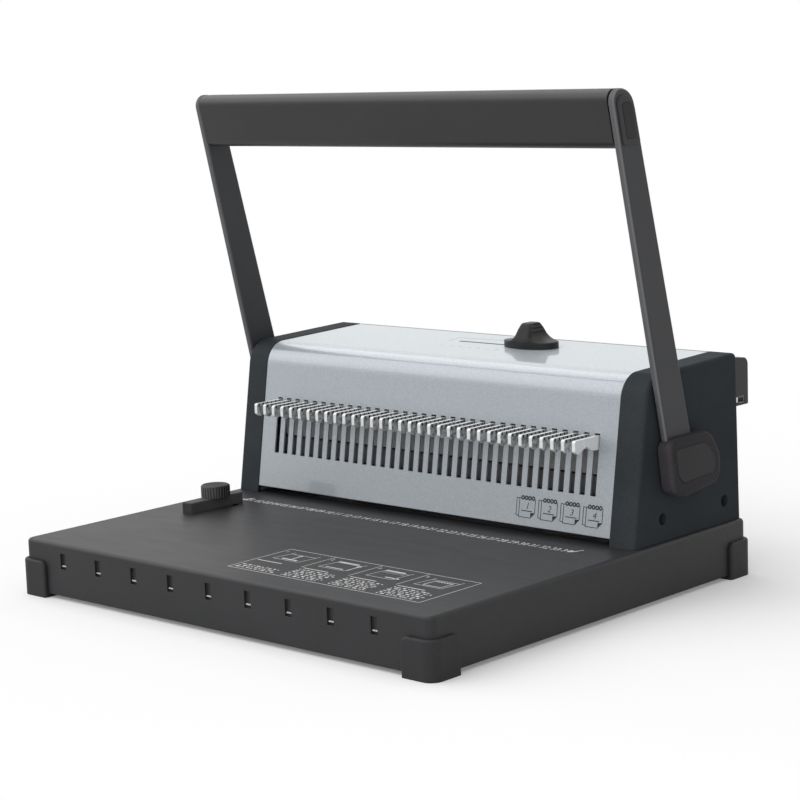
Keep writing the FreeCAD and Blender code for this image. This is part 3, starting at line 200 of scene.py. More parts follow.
def moulded(name, tone, rough, grain, depth, edge=0.5 * MM, smooth_above=None, specular=0.34,
            ahead=1.0):
    """Moulded plastic: spark-eroded grain, uneven sheen, edges slightly lighter and smoother.

    The grain's cells are grain wide and depth deep, and fade above the height smooth_above.
    Faces turned to the front carry painted light or painted shade: their colour is scaled by the
    share ahead."""
    paint = Paint(name)
    pits = paint.cells(grain) * 0.6 + paint.noise(grain * 0.7, detail=3.0) * 0.7
    broad = paint.noise(55 * MM, detail=3.0)
    flow = paint.noise(9 * MM, place=paint.stretched(0.25, 1.0, 1.0))
    rounded = paint.edges(edge)
    worn = paint.rubbed(rounded)
    if smooth_above is None:
        coarse = 1.0
    else:
        height = paint.parts(paint.spot)[2]
        coarse = 1 - paint.spread(height, smooth_above - 0.6 * MM, smooth_above) * 0.72
    # speck: the grain's random tone, times painted light or painted shade on faces turned to the
    # front
    speck = paint.spread(paint.noise(grain * 2.2), 0.3, 0.7, 0.9, 1.1) * paint.ahead(ahead)
    base = paint.blend(paint.spread(broad, 0.35, 0.65), shade(tone, 0.9), shade(tone, 1.1))
    lit = paint.blend(worn * 0.35, paint.scaled(base, speck), shade(tone, 1.9))
    sheen = rough + (broad - 0.5) * 0.12 + (flow - 0.5) * 0.08 - worn * 0.1
    normal = paint.relief(pits * coarse, depth, rounded)
    return paint.end(Base_Color=lit, Roughness=sheen, Normal=normal, Specular_IOR_Level=specular)


def shell_plastic():
    """Plastic of the base and the closer's hood, smoother from the tray up."""
    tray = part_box("base_shell")[1].z
    return moulded("shell_plastic", colour(0.0243, 0.0248, 0.0265), 0.46, 0.55 * MM, 0.035 * MM,
                   smooth_above=tray - 0.2 * MM, specular=0.31)


def cheek_plastic():
    # ahead=1.4: painted light on the cheeks' front faces
    return moulded("cheek_plastic", colour(0.0325, 0.0370, 0.0410), 0.52, 0.5 * MM, 0.03 * MM,
                   specular=0.02, ahead=1.4)


def foot_rubber():
    return moulded("foot_rubber", colour(0.021, 0.021, 0.023), 0.60, 0.8 * MM, 0.05 * MM,
                   edge=0.8 * MM)


def grip_plastic():
    return moulded("grip_plastic", colour(0.0185, 0.018, 0.019), 0.38, 0.4 * MM, 0.02 * MM,
                   specular=0.46)


def end_cap_plastic():
    return moulded("end_cap_plastic", colour(0.0200, 0.0195, 0.0205), 0.42, 0.4 * MM, 0.02 * MM,
                   specular=0.30)


def cover_plastic():
    # ahead=1.7: painted light on the pivot covers' front faces, which lie in shade
    return moulded("cover_plastic", colour(0.0385, 0.0360, 0.0400), 0.48, 0.4 * MM, 0.02 * MM,
                   specular=0.03, ahead=1.7)


def badge_plastic():
    return moulded("badge_plastic", colour(0.0330, 0.0320, 0.0345), 0.40, 0.3 * MM, 0.008 * MM,
                   edge=0.3 * MM, specular=0.10)


def knob_plastic(name, level, specular, ahead=1.0):
    return moulded(name, grey(level), 0.40, 0.35 * MM, 0.012 * MM, edge=0.4 * MM,
                   specular=specular, ahead=ahead)


def deck_plastic():
    # ahead=0.75: painted shade on the deck's front faces
    return moulded("deck_plastic", colour(0.090, 0.090, 0.092), 0.46, 0.45 * MM, 0.02 * MM,
                   specular=0.04, ahead=0.75)


def drawer_plastic():
    return moulded("drawer_plastic", colour(0.025, 0.026, 0.027), 0.50, 0.6 * MM, 0.03 * MM)


def hook_plastic():
    """Light satin plastic of the hooks, white except on their sides.

    The hooks' sides carry painted shade: cloudy and darker, with painted shadow spots in a line
    under their top. The two outermost sides of the row carry painted light and are nearly as
    bright as the top."""
    paint = Paint("hook_plastic")
    low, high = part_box("binding_hooks")
    first_shadow_spot, shadow_spot_pitch = low.y + 2.0 * MM, 4.0 * MM
    x, y, z = paint.parts(paint.spot)
    rounded = paint.edges(0.35 * MM)
    cloud = paint.noise(3.0 * MM, detail=3.0, rough=0.6)
    # The sides' random cloud, darkened by painted shade from the neighbouring hooks
    cloud_in_painted_shade = paint.blend(paint.spread(cloud, 0.38, 0.62), colour(0.22, 0.23, 0.24),
                          colour(0.62, 0.64, 0.65))
    # Painted shadow spots in a row under the top of each hook's side
    ripple = ((y - first_shadow_spot) * (2 * math.pi / shadow_spot_pitch)).math("COSINE")
    under_top = 1 - paint.spread(high.z - z, 1.6 * MM, 2.6 * MM)
    with_shadow_spots = paint.blend(paint.spread(ripple, 0.2, 0.7) * under_top, cloud_in_painted_shade, grey(0.015))
    # outermost and colour(0.84, 0.86, 0.87): painted light on the row's two outer sides
    outermost = paint.spread(x.math("ABSOLUTE"), high.x - 0.6 * MM, high.x - 0.3 * MM)
    flank_shade_and_light = paint.blend(outermost, with_shadow_spots, colour(0.84, 0.86, 0.87))
    pale_faces = paint.blend(paint.spread(cloud, 0.35, 0.65), colour(0.92, 0.93, 0.93),
                         colour(0.96, 0.97, 0.97))
    sideways = paint.spread(paint.parts(paint.facing)[0].math("ABSOLUTE"), 0.55, 0.85)
    tone = paint.blend(sideways, pale_faces, flank_shade_and_light)
    sheen = 0.26 + (cloud - 0.5) * 0.15
    normal = paint.relief(paint.noise(0.3 * MM), 0.006 * MM, rounded)
    return paint.end(Base_Color=tone, Roughness=sheen, Normal=normal, Coat_Weight=0.4,
                     Coat_Roughness=0.12)


# Lacquers

def silver_lacquer():
    """Silver lacquer: metal flakes under a clear coat, with a trace of orange peel.

    It has painted light on the level top, and a thinner coat there."""
    paint = Paint("silver_lacquer")
    flake = paint.parts(paint.cells(0.42 * MM, out="Color"))[0]
    speck = paint.parts(paint.cells(0.9 * MM, out="Color"))[1]
    broad = paint.noise(70 * MM)
    glint = flake * 0.65 + speck * 0.35
    # upward: the mask of the level top; level is the painted-light copy of the colour for it
    upward = paint.spread(paint.parts(paint.facing)[2], 0.75, 0.99)
    tilted = paint.blend(glint, colour(0.315, 0.35, 0.38), colour(0.435, 0.474, 0.51))
    level = paint.blend(glint, colour(0.46, 0.515, 0.54), colour(0.63, 0.70, 0.73))
    tone = paint.blend(upward, tilted, level)
    sheen = 0.42 + (broad - 0.5) * 0.06 + (flake - 0.5) * 0.10
    peel = paint.noise(2.4 * MM, detail=1.0)
    normal = paint.relief(flake * 0.5 + peel * 0.5, 0.008 * MM, paint.edges(0.3 * MM))
    return paint.end(Base_Color=tone, Metallic=0.30, Roughness=sheen, Normal=normal,
                     Coat_Weight=1.0 - upward * 0.3, Coat_Roughness=0.07, Coat_IOR=1.5)


def arm_powder_coat():
    """Powder coat on the steel arms: fine orange peel, light along the rounded edges, partly as
    thin paint and partly as painted highlight.

    The broad rounding between an arm's outer side and its narrow sides carries a painted highlight
    too, and faces turned to the front carry painted light."""
    paint = Paint("arm_powder_coat")
    rounded = paint.edges(0.6 * MM)
    worn = paint.rubbed(rounded)
    peel = paint.noise(0.9 * MM) * 0.7 + paint.cells(1.6 * MM) * 0.3
    broad = paint.noise(60 * MM)
    dark = colour(0.060, 0.061, 0.064)
    base = paint.blend(paint.spread(broad, 0.3, 0.7), shade(dark, 0.93), shade(dark, 1.07))
    outward = paint.parts(paint.facing)[0] * paint.parts(paint.spot)[0].math("SIGN")
    # turned: painted highlight along the broad rounding between the outer side and the narrow
    # sides
    turned = paint.spread(outward * (1 - outward), 0.10, 0.22)
    thin = (worn * 0.2 + turned * (1 - worn * 0.2)).clamped()
    # colour(0.18, 0.18, 0.185) is the painted highlight's colour; ahead(2.1) is painted light on
    # front faces
    tone = paint.blend(thin, paint.scaled(base, paint.ahead(2.1)), colour(0.18, 0.18, 0.185))
    sheen = 0.40 + (broad - 0.5) * 0.08 - worn * 0.08
    normal = paint.relief(peel, 0.018 * MM, rounded)
    return paint.end(Base_Color=tone, Roughness=sheen, Normal=normal, Specular_IOR_Level=0.12)


def sheet_paint(name, dark, light):
    """Thin grey paint on sheet steel, rubbed through along its edges."""
    paint = Paint(name)
    rounded = paint.edges(0.4 * MM)
    worn = paint.rubbed(rounded)
    mottle = paint.noise(14 * MM, detail=4.0)
    peel = paint.noise(0.8 * MM)
    tone = paint.blend(paint.spread(mottle, 0.35, 0.65), grey(dark), grey(light))
    bare = paint.blend(worn * 0.5, tone, colour(0.35, 0.35, 0.36))
    sheen = 0.42 + (mottle - 0.5) * 0.2
    normal = paint.relief(peel, 0.012 * MM, rounded)
    return paint.end(Base_Color=bare, Metallic=worn * 0.5, Roughness=sheen, Normal=normal)


# Metals

def ground_metal(name, dark, light, rough, line, stretch):
    """Ground or drawn metal: fine lines along one axis, faint stains and brighter edges.

    The lines are line wide, and long along the axis whose number in stretch is small."""
    paint = Paint(name)
    rounded = paint.edges(0.25 * MM)
    worn = paint.rubbed(rounded)
    lines = paint.noise(line, detail=4.0, place=paint.stretched(*stretch))
    stain = paint.noise(18 * MM, detail=3.0)
    base = paint.blend(paint.spread(lines, 0.3, 0.7), dark, light)
    tone = paint.blend(worn * 0.6, base, grey(0.78))
    sheen = rough + (lines - 0.5) * 0.25 + (stain - 0.5) * 0.15
    normal = paint.relief(lines, 0.008 * MM, rounded)
    return paint.end(Base_Color=tone, Metallic=1.0, Roughness=sheen, Normal=normal)


def bare_steel():
    return ground_metal("bare_steel", colour(0.48, 0.48, 0.49), grey(0.63), 0.30, 0.5 * MM,
                        (0.05, 1.0, 1.0))


def tool_steel():
    return ground_metal("tool_steel", colour(0.10, 0.10, 0.105), colour(0.16, 0.16, 0.165), 0.34,
                        0.4 * MM, (1.0, 0.06, 1.0))


def black_steel():
    """Blackened steel of the punch beam: dull, oily and a little blotched."""
    paint = Paint("black_steel")
    rounded = paint.edges(0.3 * MM)
    worn = paint.rubbed(rounded)
    blotch = paint.noise(7 * MM, detail=4.0)
    grain = paint.noise(0.7 * MM, detail=3.0)
    base = paint.blend(paint.spread(blotch, 0.3, 0.7), colour(0.13, 0.13, 0.14),
                       colour(0.20, 0.20, 0.21))
    tone = paint.blend(worn * 0.4, base, grey(0.12))
    sheen = 0.42 + (blotch - 0.5) * 0.2
    normal = paint.relief(grain, 0.02 * MM, rounded)
    return paint.end(Base_Color=tone, Roughness=sheen, Normal=normal, Specular_IOR_Level=0.3)


def zinc_plate():
    """Zinc plating: cloudy, faintly blue and yellow, on sheet and screws."""
    paint = Paint("zinc_plate")
    rounded = paint.edges(0.3 * MM)
    worn = paint.rubbed(rounded)
    spangle = paint.parts(paint.cells(5 * MM, out="Color"))[0]
    cloud = paint.noise(22 * MM, detail=3.0)
    base = paint.blend(paint.spread(cloud, 0.3, 0.7), colour(0.53, 0.55, 0.58),
                       colour(0.62, 0.61, 0.55))
    tone = paint.blend(worn * 0.5, base, grey(0.72))
    sheen = 0.34 + (spangle - 0.5) * 0.12 + (cloud - 0.5) * 0.1
    normal = paint.relief(paint.noise(0.5 * MM), 0.006 * MM, rounded)
    return paint.end(Base_Color=tone, Metallic=1.0, Roughness=sheen, Normal=normal)


def ink(name, tone, rough):
    """Screen-printed ink, thin in places."""
    paint = Paint(name)
    thin = paint.spread(paint.noise(1.2 * MM, detail=3.0), 0.3, 0.7, 0.86, 1.0)
    sheen = rough + (paint.noise(0.6 * MM) - 0.5) * 0.2
    return paint.end(Base_Color=paint.scaled(tone[:3], thin), Roughness=sheen)


white_ink = ink("white_ink", colour(0.80, 0.80, 0.785), 0.45)
black_ink = ink("black_ink", colour(0.008, 0.009, 0.012), 0.4)

# The record's material slots, and the nodes that need a finish of their own within their slot

finishes = {
    "shell": shell_plastic(),
    "cheek_plastic": cheek_plastic(),
    "deck_plastic": deck_plastic(),
    "feet": foot_rubber(),
    "silver_sheet": silver_lacquer(),
    "handle_grip": grip_plastic(),
    "handle_arm": arm_powder_coat(),
    "knob_plastic": knob_plastic("knob_plastic", 0.016, 0.22),
    "badge": badge_plastic(),
    "hook_plastic": hook_plastic(),
    "carrier": sheet_paint("carrier_paint", 0.092, 0.106),
    "bare_steel": bare_steel(),
    "tool_steel": tool_steel(),
    "black_steel": black_steel(),
    "zinc": zinc_plate(),
    "drawer_plastic": drawer_plastic(),
}
caps, covers = end_cap_plastic(), cover_plastic()
own_finishes = {
    "right_grip_cap": caps,
    "left_grip_cap": caps,
    "right_closer_cap": caps,
    "left_closer_cap": caps,
    "right_pivot_cover": covers,
    "left_pivot_cover": covers,
    # clamp knob: ahead=6.5 is painted light on its front faces, whose grooves lie in shade
    "guide_knob": knob_plastic("clamp_knob_plastic", 0.022, 0.04, ahead=6.5),
    "hook_carrier": sheet_paint("hook_carrier_paint", 0.34, 0.44),
}
slot_of = {part["node"]: part["material_slot"] for part in frame["record"]["subparts"]}
for name, node in frame["nodes"].items():
    for place in node.material_slots:
        place.material = own_finishes.get(name, finishes[slot_of[name]])


# New pieces

def wall_between(mesh, first, second):
    """Four-cornered faces from one closed row of points to the next."""
    for i in range(len(first)):
        after = (i + 1) % len(first)
        mesh.faces.new((first[i], first[after], second[after], second[i]))


def new_piece(name, mesh, place, material, body):
    """Makes a finished mesh into a piece that rides on a body."""
    data = bpy.data.meshes.new(name)
    mesh.to_mesh(data)
    mesh.free()
    data.transform(place)
    data.materials.append(material)
    piece = bpy.data.objects.new(name, data)
    bpy.context.scene.collection.objects.link(piece)
    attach(piece, body)
    return piece


def facing_along(right, up, out):
    """The turn that sends X, Y and Z to these three directions."""
    return Matrix((right, up, out)).transposed().to_4x4()


# Prints: thin closed slabs of ink, drawn flat in millimetres and then laid on their face

ink_thick = 0.04
font_size = 1.4         # a font's size for digits 1 tall
panel_lean = 0.1618     # how far the front panel goes back for each length up
top_rise = 0.033        # how far the top goes up for each length back


def slab(mesh, corners):
    """One closed patch of ink with these corners."""
    low = [mesh.verts.new((x, y, 0.0)) for x, y in corners]
    high = [mesh.verts.new((x, y, ink_thick)) for x, y in corners]
    mesh.faces.new(high)
    mesh.faces.new(low[::-1])
    wall_between(mesh, low, high)


def stroke(mesh, start, end, wide):
    """A straight inked line, half its width longer at each end."""
    ahead = (Vector(end) - Vector(start)).normalized() * wide / 2
    side = Vector((-ahead.y, ahead.x))
    first = Vector(start) - ahead
    last = Vector(end) + ahead
    slab(mesh, [first - side, last - side, last + side, first + side])


def outline(mesh, corners, wide, closed=True):
    """Strokes from corner to corner."""
    ends = corners[1:] + corners[:1] if closed else corners[1:]
    for start, end in zip(corners, ends):
        stroke(mesh, start, end, wide)


def bar(mesh, x0, x1, y0, y1):
    slab(mesh, [(x0, y0), (x1, y0), (x1, y1), (x0, y1)])


def ring(mesh, x, y, radius, wide, sides):
    """A printed circle."""
    turns = [2 * math.pi * i / sides for i in range(sides)]
    points = [(x + radius * math.cos(turn), y + radius * math.sin(turn)) for turn in turns]
    outline(mesh, points, wide)


def arrow(mesh, start, end, wide):
    """A stroke with a pointed head at its end."""
    stroke(mesh, start, end, wide)
    ahead = (Vector(end) - Vector(start)).normalized() * wide
    side = Vector((-ahead.y, ahead.x)) * 1.6
    tip = Vector(end) + ahead * 2.4
    foot = Vector(end) - ahead * 0.6
    slab(mesh, [foot - side, tip, foot + side])


def number(mesh, text, x, y, tall, slant=0.0, squeeze=1.0):
    """Plain digits, centred on x, standing on y, narrowed by squeeze."""
    curve = bpy.data.curves.new("digits", "FONT")
    curve.body = text
    curve.size = tall * font_size
    curve.align_x = "CENTER"
    curve.extrude = ink_thick / 2
    curve.resolution_u = 2
    curve.shear = slant
    holder = bpy.data.objects.new("digits", curve)
    bpy.context.scene.collection.objects.link(holder)
    shown = holder.evaluated_get(bpy.context.evaluated_depsgraph_get())
    drawn = bpy.data.meshes.new_from_object(shown)
    narrowed = Matrix.Diagonal((squeeze, 1.0, 1.0, 1.0))
    drawn.transform(Matrix.Translation((x, y, ink_thick / 2)) @ narrowed)
    mesh.from_mesh(drawn)
    bpy.data.objects.remove(holder)
    bpy.data.meshes.remove(drawn)
    bpy.data.curves.remove(curve)


def lay_print(name, mesh, face, material):
    """Lays a print on its face, on a piece that doesn't move."""
    bmesh.ops.recalc_face_normals(mesh, faces=mesh.faces)
    new_piece(name, mesh, face @ Matrix.Scale(MM, 4), material, "frame")


def leaning(along):
    """The turn that keeps X and sends Y along a slope."""
    along = along.normalized()
    return facing_along(Vector((1.0, 0.0, 0.0)), along, Vector((0.0, -along.z, along.y)))


def on_tray():
    """The tray's own X and Y."""
    return Matrix.Translation((0.0, 0.0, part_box("base_shell")[1].z))


def on_panel():
    """A print's x along X, its y up the leaning front panel from its lower edge."""
    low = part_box("front_cover")[0]
    return Matrix.Translation((0.0, low.y, low.z)) @ leaning(Vector((0.0, panel_lean, 1.0)))


def on_top():
    """A print's x along X, its y back along the rising top from the place above Y = 0."""
    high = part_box("front_cover")[1]
    start = (0.0, 0.0, high.z - top_rise * high.y)
    return Matrix.Translation(start) @ leaning(Vector((0.0, 1.0, top_rise)))


# Ruler

hole_pitch = 25.4 / 3
hole_count = 34
ruler_front, ruler_tall = 11.6, 6.0


def ruler():
    """One plain number for each hole along the throat, between two small arrows."""
    mesh = bmesh.new()
    for i in range(hole_count):
        x = (i - (hole_count - 1) / 2) * hole_pitch
        number(mesh, f"{i + 1:02d}", x, ruler_front, ruler_tall, squeeze=0.84)
    end, y = (hole_count / 2 - 0.1) * hole_pitch, ruler_front
    slab(mesh, [(end, y), (end + 4.0, y + 4.6), (end - 1.0, y + 4.2)])
    stroke(mesh, (end + 2.0, y + 4.2), (end + 4.5, y + 9.0), 0.9)
    slab(mesh, [(-end, y), (-end, y + 3.4), (-end - 5.5, y + 1.6)])
    stroke(mesh, (-end - 1.0, y + 3.0), (-end + 1.5, y + 8.0), 0.9)
    lay_print("ruler_print", mesh, on_tray(), white_ink)


# Instruction panel: four cells, each with a plain pictogram and bars in place of words

panel_left, panel_right = -6.0, 150.3
panel_front, panel_split, panel_back = -133.0, -107.5, -78.7
panel_corners = [(panel_left, panel_front), (panel_right, panel_front),
                 (panel_right, panel_back), (panel_left, panel_back)]
cell_walls = [panel_left, 33.3, 72.5, 110.8, panel_right]
panel_line, sketch_line = 0.42, 0.38
sketch_front, sketch_back = panel_split + 5.5, panel_back - 6.0


def machine_sketch(mesh, left, right):
    """The same small outline of a tray with a bar at its back, in each cell."""
    lean = 2.5
    bar_lean, bar_back = 0.8 * lean, sketch_back - 3.2
    tray = [(left + lean, sketch_back), (left, sketch_front), (right, sketch_front),
            (right + lean, sketch_back)]
    outline(mesh, tray, sketch_line, closed=False)
    stroke(mesh, (left + bar_lean, bar_back), (right + bar_lean, bar_back), sketch_line)


def sheets_go_in(mesh, x):
    """A stack's edge, and an arrow to the back."""
    bar(mesh, x - 7.0, x + 6.0, sketch_front + 2.0, sketch_front + 3.6)
    arrow(mesh, (x, sketch_front + 5.2), (x, sketch_back - 5.0), 1.0)


def handle_comes_down(mesh, x):
    """The handle's bar, the stack's edge, and an arrow beside them."""
    bar(mesh, x - 9.0, x + 7.0, sketch_back - 2.2, sketch_back - 0.6)
    bar(mesh, x - 8.0, x + 6.0, sketch_front + 1.8, sketch_front + 2.8)
    arrow(mesh, (x + 10.0, sketch_front + 2.0), (x + 10.0, sketch_back - 5.0), 1.2)


def wire_is_hung(mesh, x):
    """The handle's bar, a row of loops, and an arrow to the right."""
    bar(mesh, x - 9.0, x + 6.0, sketch_back - 2.2, sketch_back - 0.6)
    for i in range(7):
        ring(mesh, x + (i - 3) * 2.4, sketch_back - 5.6, 0.85, 0.45, sides=10)
    arrow(mesh, (x + 2.0, sketch_front + 3.0), (x + 10.0, sketch_front + 3.0), 1.2)


def wire_is_closed(mesh, x):
    """A page with a row of loops through its rear edge."""
    page = [(x - 7.0, sketch_front + 2.0), (x + 7.0, sketch_front + 2.0),
            (x + 8.0, sketch_back - 5.5), (x - 6.0, sketch_back - 5.5)]
    outline(mesh, page, 0.6)
    for i in range(6):
        loop = x + (i - 2) * 2.2
        stroke(mesh, (loop, sketch_back - 6.4), (loop + 0.4, sketch_back - 4.6), 0.5)


def word_rows(mesh, cell, rows):
    """Rows of short bars in place of words, their lengths spread by a fixed rule."""
    first_row, row_pitch = panel_split - 6.4, 3.1
    for row in rows:
        x = cell_walls[cell] + 3.0
        y = first_row - row * row_pitch
        row_end = cell_walls[cell + 1] - 4.0 - (row * 7 + cell * 3) % 5
        word = cell * 5 + row * 11
        while x < row_end:
            wide = 0.9 + (word * 0.618 % 1.0) * 2.5
            bar(mesh, x, min(x + wide, row_end), y - 0.5, y + 0.35 + 0.5 * (word % 2))
            x += wide + 0.9 + 0.5 * (word % 3)
            word += 1


def instruction_panel():
    """The four steps side by side. The first has fewer rows of words than the others."""
    mesh = bmesh.new()
    pictures = (sheets_go_in, handle_comes_down, wire_is_hung, wire_is_closed)
    left_margin, right_margin = 7.5, 10.5
    outline(mesh, panel_corners, panel_line)
    for x in cell_walls[1:-1]:
        stroke(mesh, (x, panel_split - 1.5), (x, panel_back), panel_line)
    for step, picture in enumerate(pictures):
        left, right = cell_walls[step:step + 2]
        machine_sketch(mesh, left + left_margin, right - right_margin)
        number(mesh, str(step + 1), left + 3.2, sketch_back - 1.5, 3.0)
        picture(mesh, (left + right) / 2)
        headline = panel_split - 2.6
        stroke(mesh, (left + 3.0, headline), (left + 23.0, headline), 0.9)
        word_rows(mesh, step, range(3, 6) if step == 0 else range(6))
    lay_print("instruction_print", mesh, on_tray(), white_ink)


# Page signs

icon_wide, icon_pitch = 15.0, 17.8
first_icon, icon_low = 80.0, 5.4


def page_icon(mesh, left, low, figure):
    """A page before another, with rings along its top, a turned corner, a number and a bar."""
    line = 0.5
    fold = 3.4
    page, right, high = left + 2.2, left + icon_wide, low + 12.0
    front_page = [(page, high), (page, low), (right - fold, low), (right, low + fold),
                  (right, high)]
    rear_page = [(page, low + 0.6), (left, low + 1.0), (left, high), (page + 1.5, high)]
    outline(mesh, front_page, line, closed=False)
    outline(mesh, rear_page, line, closed=False)
    slab(mesh, [(right - fold, low), (right, low + fold), (right - fold, low + fold)])
    for i in range(4):
        ring(mesh, page + 2.6 + i * 2.8, high + 0.5, 1.05, 0.8, sides=8)
    number(mesh, figure, (page + right) / 2, low + 5.4, 4.2, slant=0.25)
    bar(mesh, page + 1.8, right - 2.2, low + 3.9, low + 4.5)


def page_icons():
    """Four small page signs at the right end of the panel's lower edge."""
    mesh = bmesh.new()
    for i in range(4):
        page_icon(mesh, first_icon + i * icon_pitch, icon_low, str(i + 1))
    lay_print("page_sign_print", mesh, on_panel(), black_ink)


# Slider's scale

def slider_scale():
    """The thin wedge behind the slider's slot and a row of small marks before it."""
    mesh = bmesh.new()
    line = 0.25
    wedge = [(-38.0, 113.4), (-39.9, 126.8), (-0.8, 129.3)]
    first_mark, mark_pitch, mark_count = -30.0, 8.0, 9
    mark_front, mark_back = 96.0, 98.5
    outline(mesh, wedge, line, closed=False)
    for i in range(mark_count):
        x = first_mark + i * mark_pitch
        stroke(mesh, (x, mark_front), (x, mark_back), line)
    lay_print("slider_scale_print", mesh, on_top(), black_ink)


# Thumb knob, in millimetres: a flat oval rim under a narrow ridge, whose two broad sides flare
# out and are grooved. The profile has a height, half length and half depth in each row.

knob_profile = (
    (0.0, 21.5, 12.0), (3.8, 21.5, 12.0), (4.1, 18.6, 11.9), (4.6, 14.4, 11.8),
    (5.4, 10.8, 11.5), (6.6, 8.2, 11.1), (8.0, 6.9, 10.4), (10.0, 6.5, 9.2), (12.6, 5.7, 7.8),
    (14.9, 4.8, 6.3), (16.0, 4.2, 5.4), (16.6, 3.2, 4.2),
)
knob_tall = knob_profile[-1][0]
rim_deep = knob_profile[0][2]
rim_heights = [0.0, 0.3, 3.4, 3.8, 4.1]
ridge_heights = [4.3 + i * 0.22 for i in range(56)]
ridge_start, ridge_full = 4.0, 7.0      # where the oval starts to square up, and has done so
groove_heights, groove_wide = (9.8, 12.6, 14.9), 0.5
ring_points = 96


def knob_section(height):
    """Half length and half depth of the knob at a height."""
    for (low, long_0, deep_0), (high, long_1, deep_1) in zip(knob_profile, knob_profile[1:]):
        if height <= high:
            share = (height - low) / (high - low)
            return long_0 + (long_1 - long_0) * share, deep_0 + (deep_1 - deep_0) * share


def knob_ring(mesh, height):
    """One ring of the knob. The underside lies along the rising top and the tip is level."""
    long, deep = knob_section(height)
    ridged = min(1.0, max(0.0, (height - ridge_start) / (ridge_full - ridge_start)))
    power = 2.0 / (2.0 + 4.5 * ridged)
    groove = max(math.exp(-((height - place) / groove_wide) ** 2) for place in groove_heights)
    rise = top_rise * (1 - height / knob_tall)
    points = []
    for i in range(ring_points):
        turn = 2 * math.pi * i / ring_points
        across, along = math.cos(turn), math.sin(turn)
        x = long * math.copysign(abs(across) ** power, across)
        y = deep * math.copysign(abs(along) ** power, along)
        broad_side = max(0.0, 1.0 - (y / (0.84 * deep)) ** 4) * ridged
        hollow = (0.3 + 0.75 * groove) * broad_side
        x -= math.copysign(min(hollow, abs(x)), across)
        points.append(mesh.verts.new((x, y, height + rise * (y + rim_deep))))
    return points


def thumb_knob():
    """The knob in the place of its plain solid. Its wall is smooth; its two ends are flat."""
    low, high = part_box("slider_knob")
    mesh = bmesh.new()
    rings = [knob_ring(mesh, height) for height in rim_heights + ridge_heights]
    mesh.faces.new(rings[0][::-1])
    mesh.faces.new(rings[-1])
    for under, over in zip(rings, rings[1:]):
        wall_between(mesh, under, over)
    foot = Matrix.Translation(((low.x + high.x) / 2, (low.y + high.y) / 2, low.z))
    knob = new_piece("thumb_knob", mesh, foot @ Matrix.Scale(MM, 4), finishes["knob_plastic"],
                     "slider")
    smooth = [len(face.vertices) == 4 for face in knob.data.polygons]
    knob.data.polygons.foreach_set("use_smooth", smooth)
    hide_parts("slider_knob")


# Steel liners in the slots of the closer's two end caps

def slot_liner(name, side):
    """Thin channel on the slot's roof, rear wall and floor; the jaw's end runs inside it.

    side is 1 at the machine's right and -1 at its left."""
    cap_low, cap_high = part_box("right_closer_cap")
    jaw_low, jaw_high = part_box("closer_jaw")
    inner, outer = side * (cap_low.x + 0.1 * MM), side * (cap_high.x - 0.3 * MM)
    front, rear = jaw_high.y + 0.3 * MM, jaw_high.y + 6.35 * MM
    floor, roof = jaw_low.z - 0.35 * MM, jaw_low.z + 3.85 * MM
    thick = 0.2 * MM
    section = [(front, floor), (rear, floor), (rear, roof), (front, roof),
               (front, roof - thick), (rear - thick, roof - thick),
               (rear - thick, floor + thick), (front, floor + thick)]
    mesh = bmesh.new()
    near = [mesh.verts.new((inner, y, z)) for y, z in section]
    far = [mesh.verts.new((outer, y, z)) for y, z in section]
    for flange in ((0, 1, 6, 7), (1, 2, 5, 6), (2, 3, 4, 5)):
        mesh.faces.new([near[i] for i in flange])
        mesh.faces.new([far[i] for i in flange[::-1]])
    wall_between(mesh, near, far)
    bmesh.ops.recalc_face_normals(mesh, faces=mesh.faces)
    new_piece(name, mesh, Matrix.Identity(4), finishes["bare_steel"], "frame")


slot_liner("right_slot_liner", 1)
slot_liner("left_slot_liner", -1)
thumb_knob()
ruler()
instruction_panel()
page_icons()
slider_scale()


# Studio: a white floor that keeps the shadow, a white surround, and soft light from the front left

floor_half = 4.0
floor_white = 0.86
floor_glow = 0.165      # for the camera alone: it lifts the floor to the photograph's white
room_light = 0.44       # from the surround, which the camera and all gloss see as full white


def seen_by(tree, ray):
    """1 for one kind of ray, 0 for all other light."""
    return tree.add("ShaderNodeLightPath", out=f"Is {ray} Ray")


def studio_floor():
    paint = Paint("floor_white")
    dull = paint.add("ShaderNodeBsdfDiffuse", sockets={"Color": grey(floor_white)}, out="BSDF")
    sockets = {"Color": grey(1.0), "Strength": seen_by(paint, "Camera") * floor_glow}
    glow = paint.add("ShaderNodeEmission", sockets=sockets, out="Emission")
    both = paint.add("ShaderNodeAddShader", sockets={0: dull, 1: glow}, out="Shader")
    paint.add("ShaderNodeOutputMaterial", sockets={"Surface": both})
    mesh = bmesh.new()
    bmesh.ops.create_grid(mesh, x_segments=1, y_segments=1, size=floor_half)
    data = bpy.data.meshes.new("floor")
    mesh.to_mesh(data)
    mesh.free()
    data.materials.append(paint.material)
    floor = bpy.data.objects.new("floor", data)
    bpy.context.scene.collection.objects.link(floor)


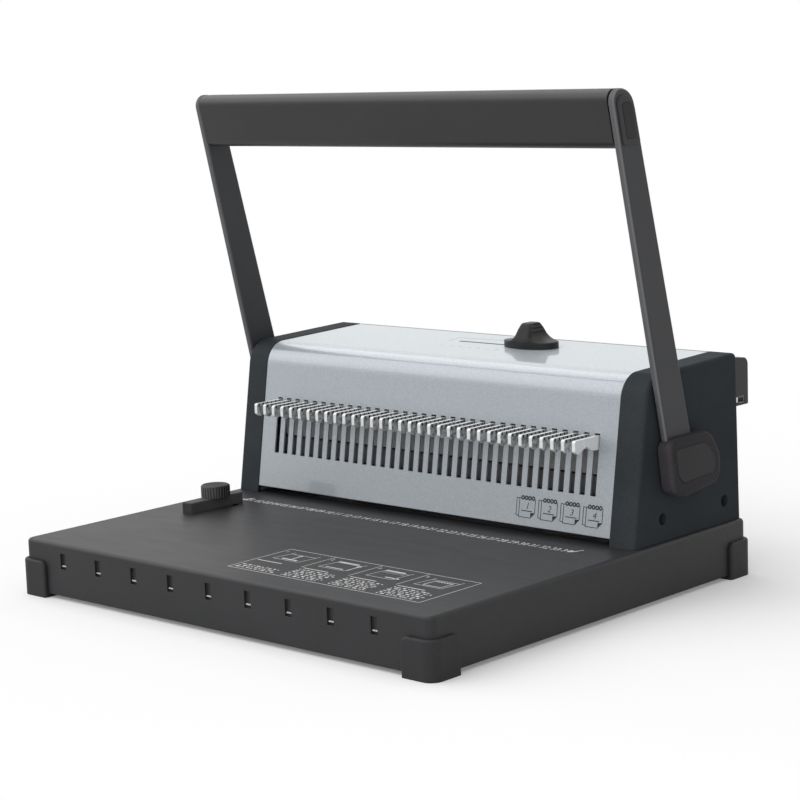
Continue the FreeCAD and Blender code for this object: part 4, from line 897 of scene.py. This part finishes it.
def studio_world():
    world = bpy.data.worlds.new("studio")
    world.use_nodes = True
    bpy.context.scene.world = world
    sky = Tree(world.node_tree)
    white = (seen_by(sky, "Camera") + seen_by(sky, "Glossy")).clamped()
    sockets = {"Color": grey(1.0), "Strength": room_light + white * (1.0 - room_light)}
    back = sky.add("ShaderNodeBackground", sockets=sockets, out="Background")
    sky.add("ShaderNodeOutputWorld", sockets={"Surface": back})


def soft_sun(name, toward, strength, angle):
    """A lamp far away that shines along toward and looks angle degrees wide."""
    lamp = bpy.data.lights.new(name, "SUN")
    lamp.energy = strength
    lamp.angle = math.radians(angle)
    holder = bpy.data.objects.new(name, lamp)
    holder.rotation_mode = "QUATERNION"
    holder.rotation_quaternion = Vector(toward).to_track_quat("-Z", "Y")
    bpy.context.scene.collection.objects.link(holder)


# The photograph's camera, fitted to the machine's corners and slots: metres, radians and pixels

camera_place = (0.96493, -1.02493, 0.34487)
camera_yaw, camera_pitch, camera_roll = 0.7457, -0.158, -0.0346
focal_length, picture_wide = 2212.47, 800.0
sensor_wide = 36.0      # millimetres


def photo_camera():
    """The photograph's own place, turn and angle of view."""
    level = Vector((math.cos(camera_yaw), math.sin(camera_yaw), 0.0))
    flat_ahead = Vector((-level.y, level.x, 0.0))
    ahead = flat_ahead * math.cos(camera_pitch) + Vector((0.0, 0.0, math.sin(camera_pitch)))
    above = level.cross(ahead)
    right = level * math.cos(camera_roll) + above * math.sin(camera_roll)
    up = above * math.cos(camera_roll) - level * math.sin(camera_roll)
    lens = bpy.data.cameras.new("camera")
    lens.sensor_width = sensor_wide
    lens.lens = focal_length / picture_wide * sensor_wide
    holder = bpy.data.objects.new("camera", lens)
    holder.matrix_world = Matrix.Translation(camera_place) @ facing_along(right, up, -ahead)
    bpy.context.scene.collection.objects.link(holder)
    bpy.context.scene.camera = holder


studio_floor()
studio_world()
soft_sun("key", toward=(0.55, 0.32, -1.0), strength=1.85, angle=86.0)
soft_sun("fill", toward=(-0.4, 0.9, -0.35), strength=0.35, angle=60.0)
photo_camera()
bpy.context.scene.view_settings.view_transform = "Standard"
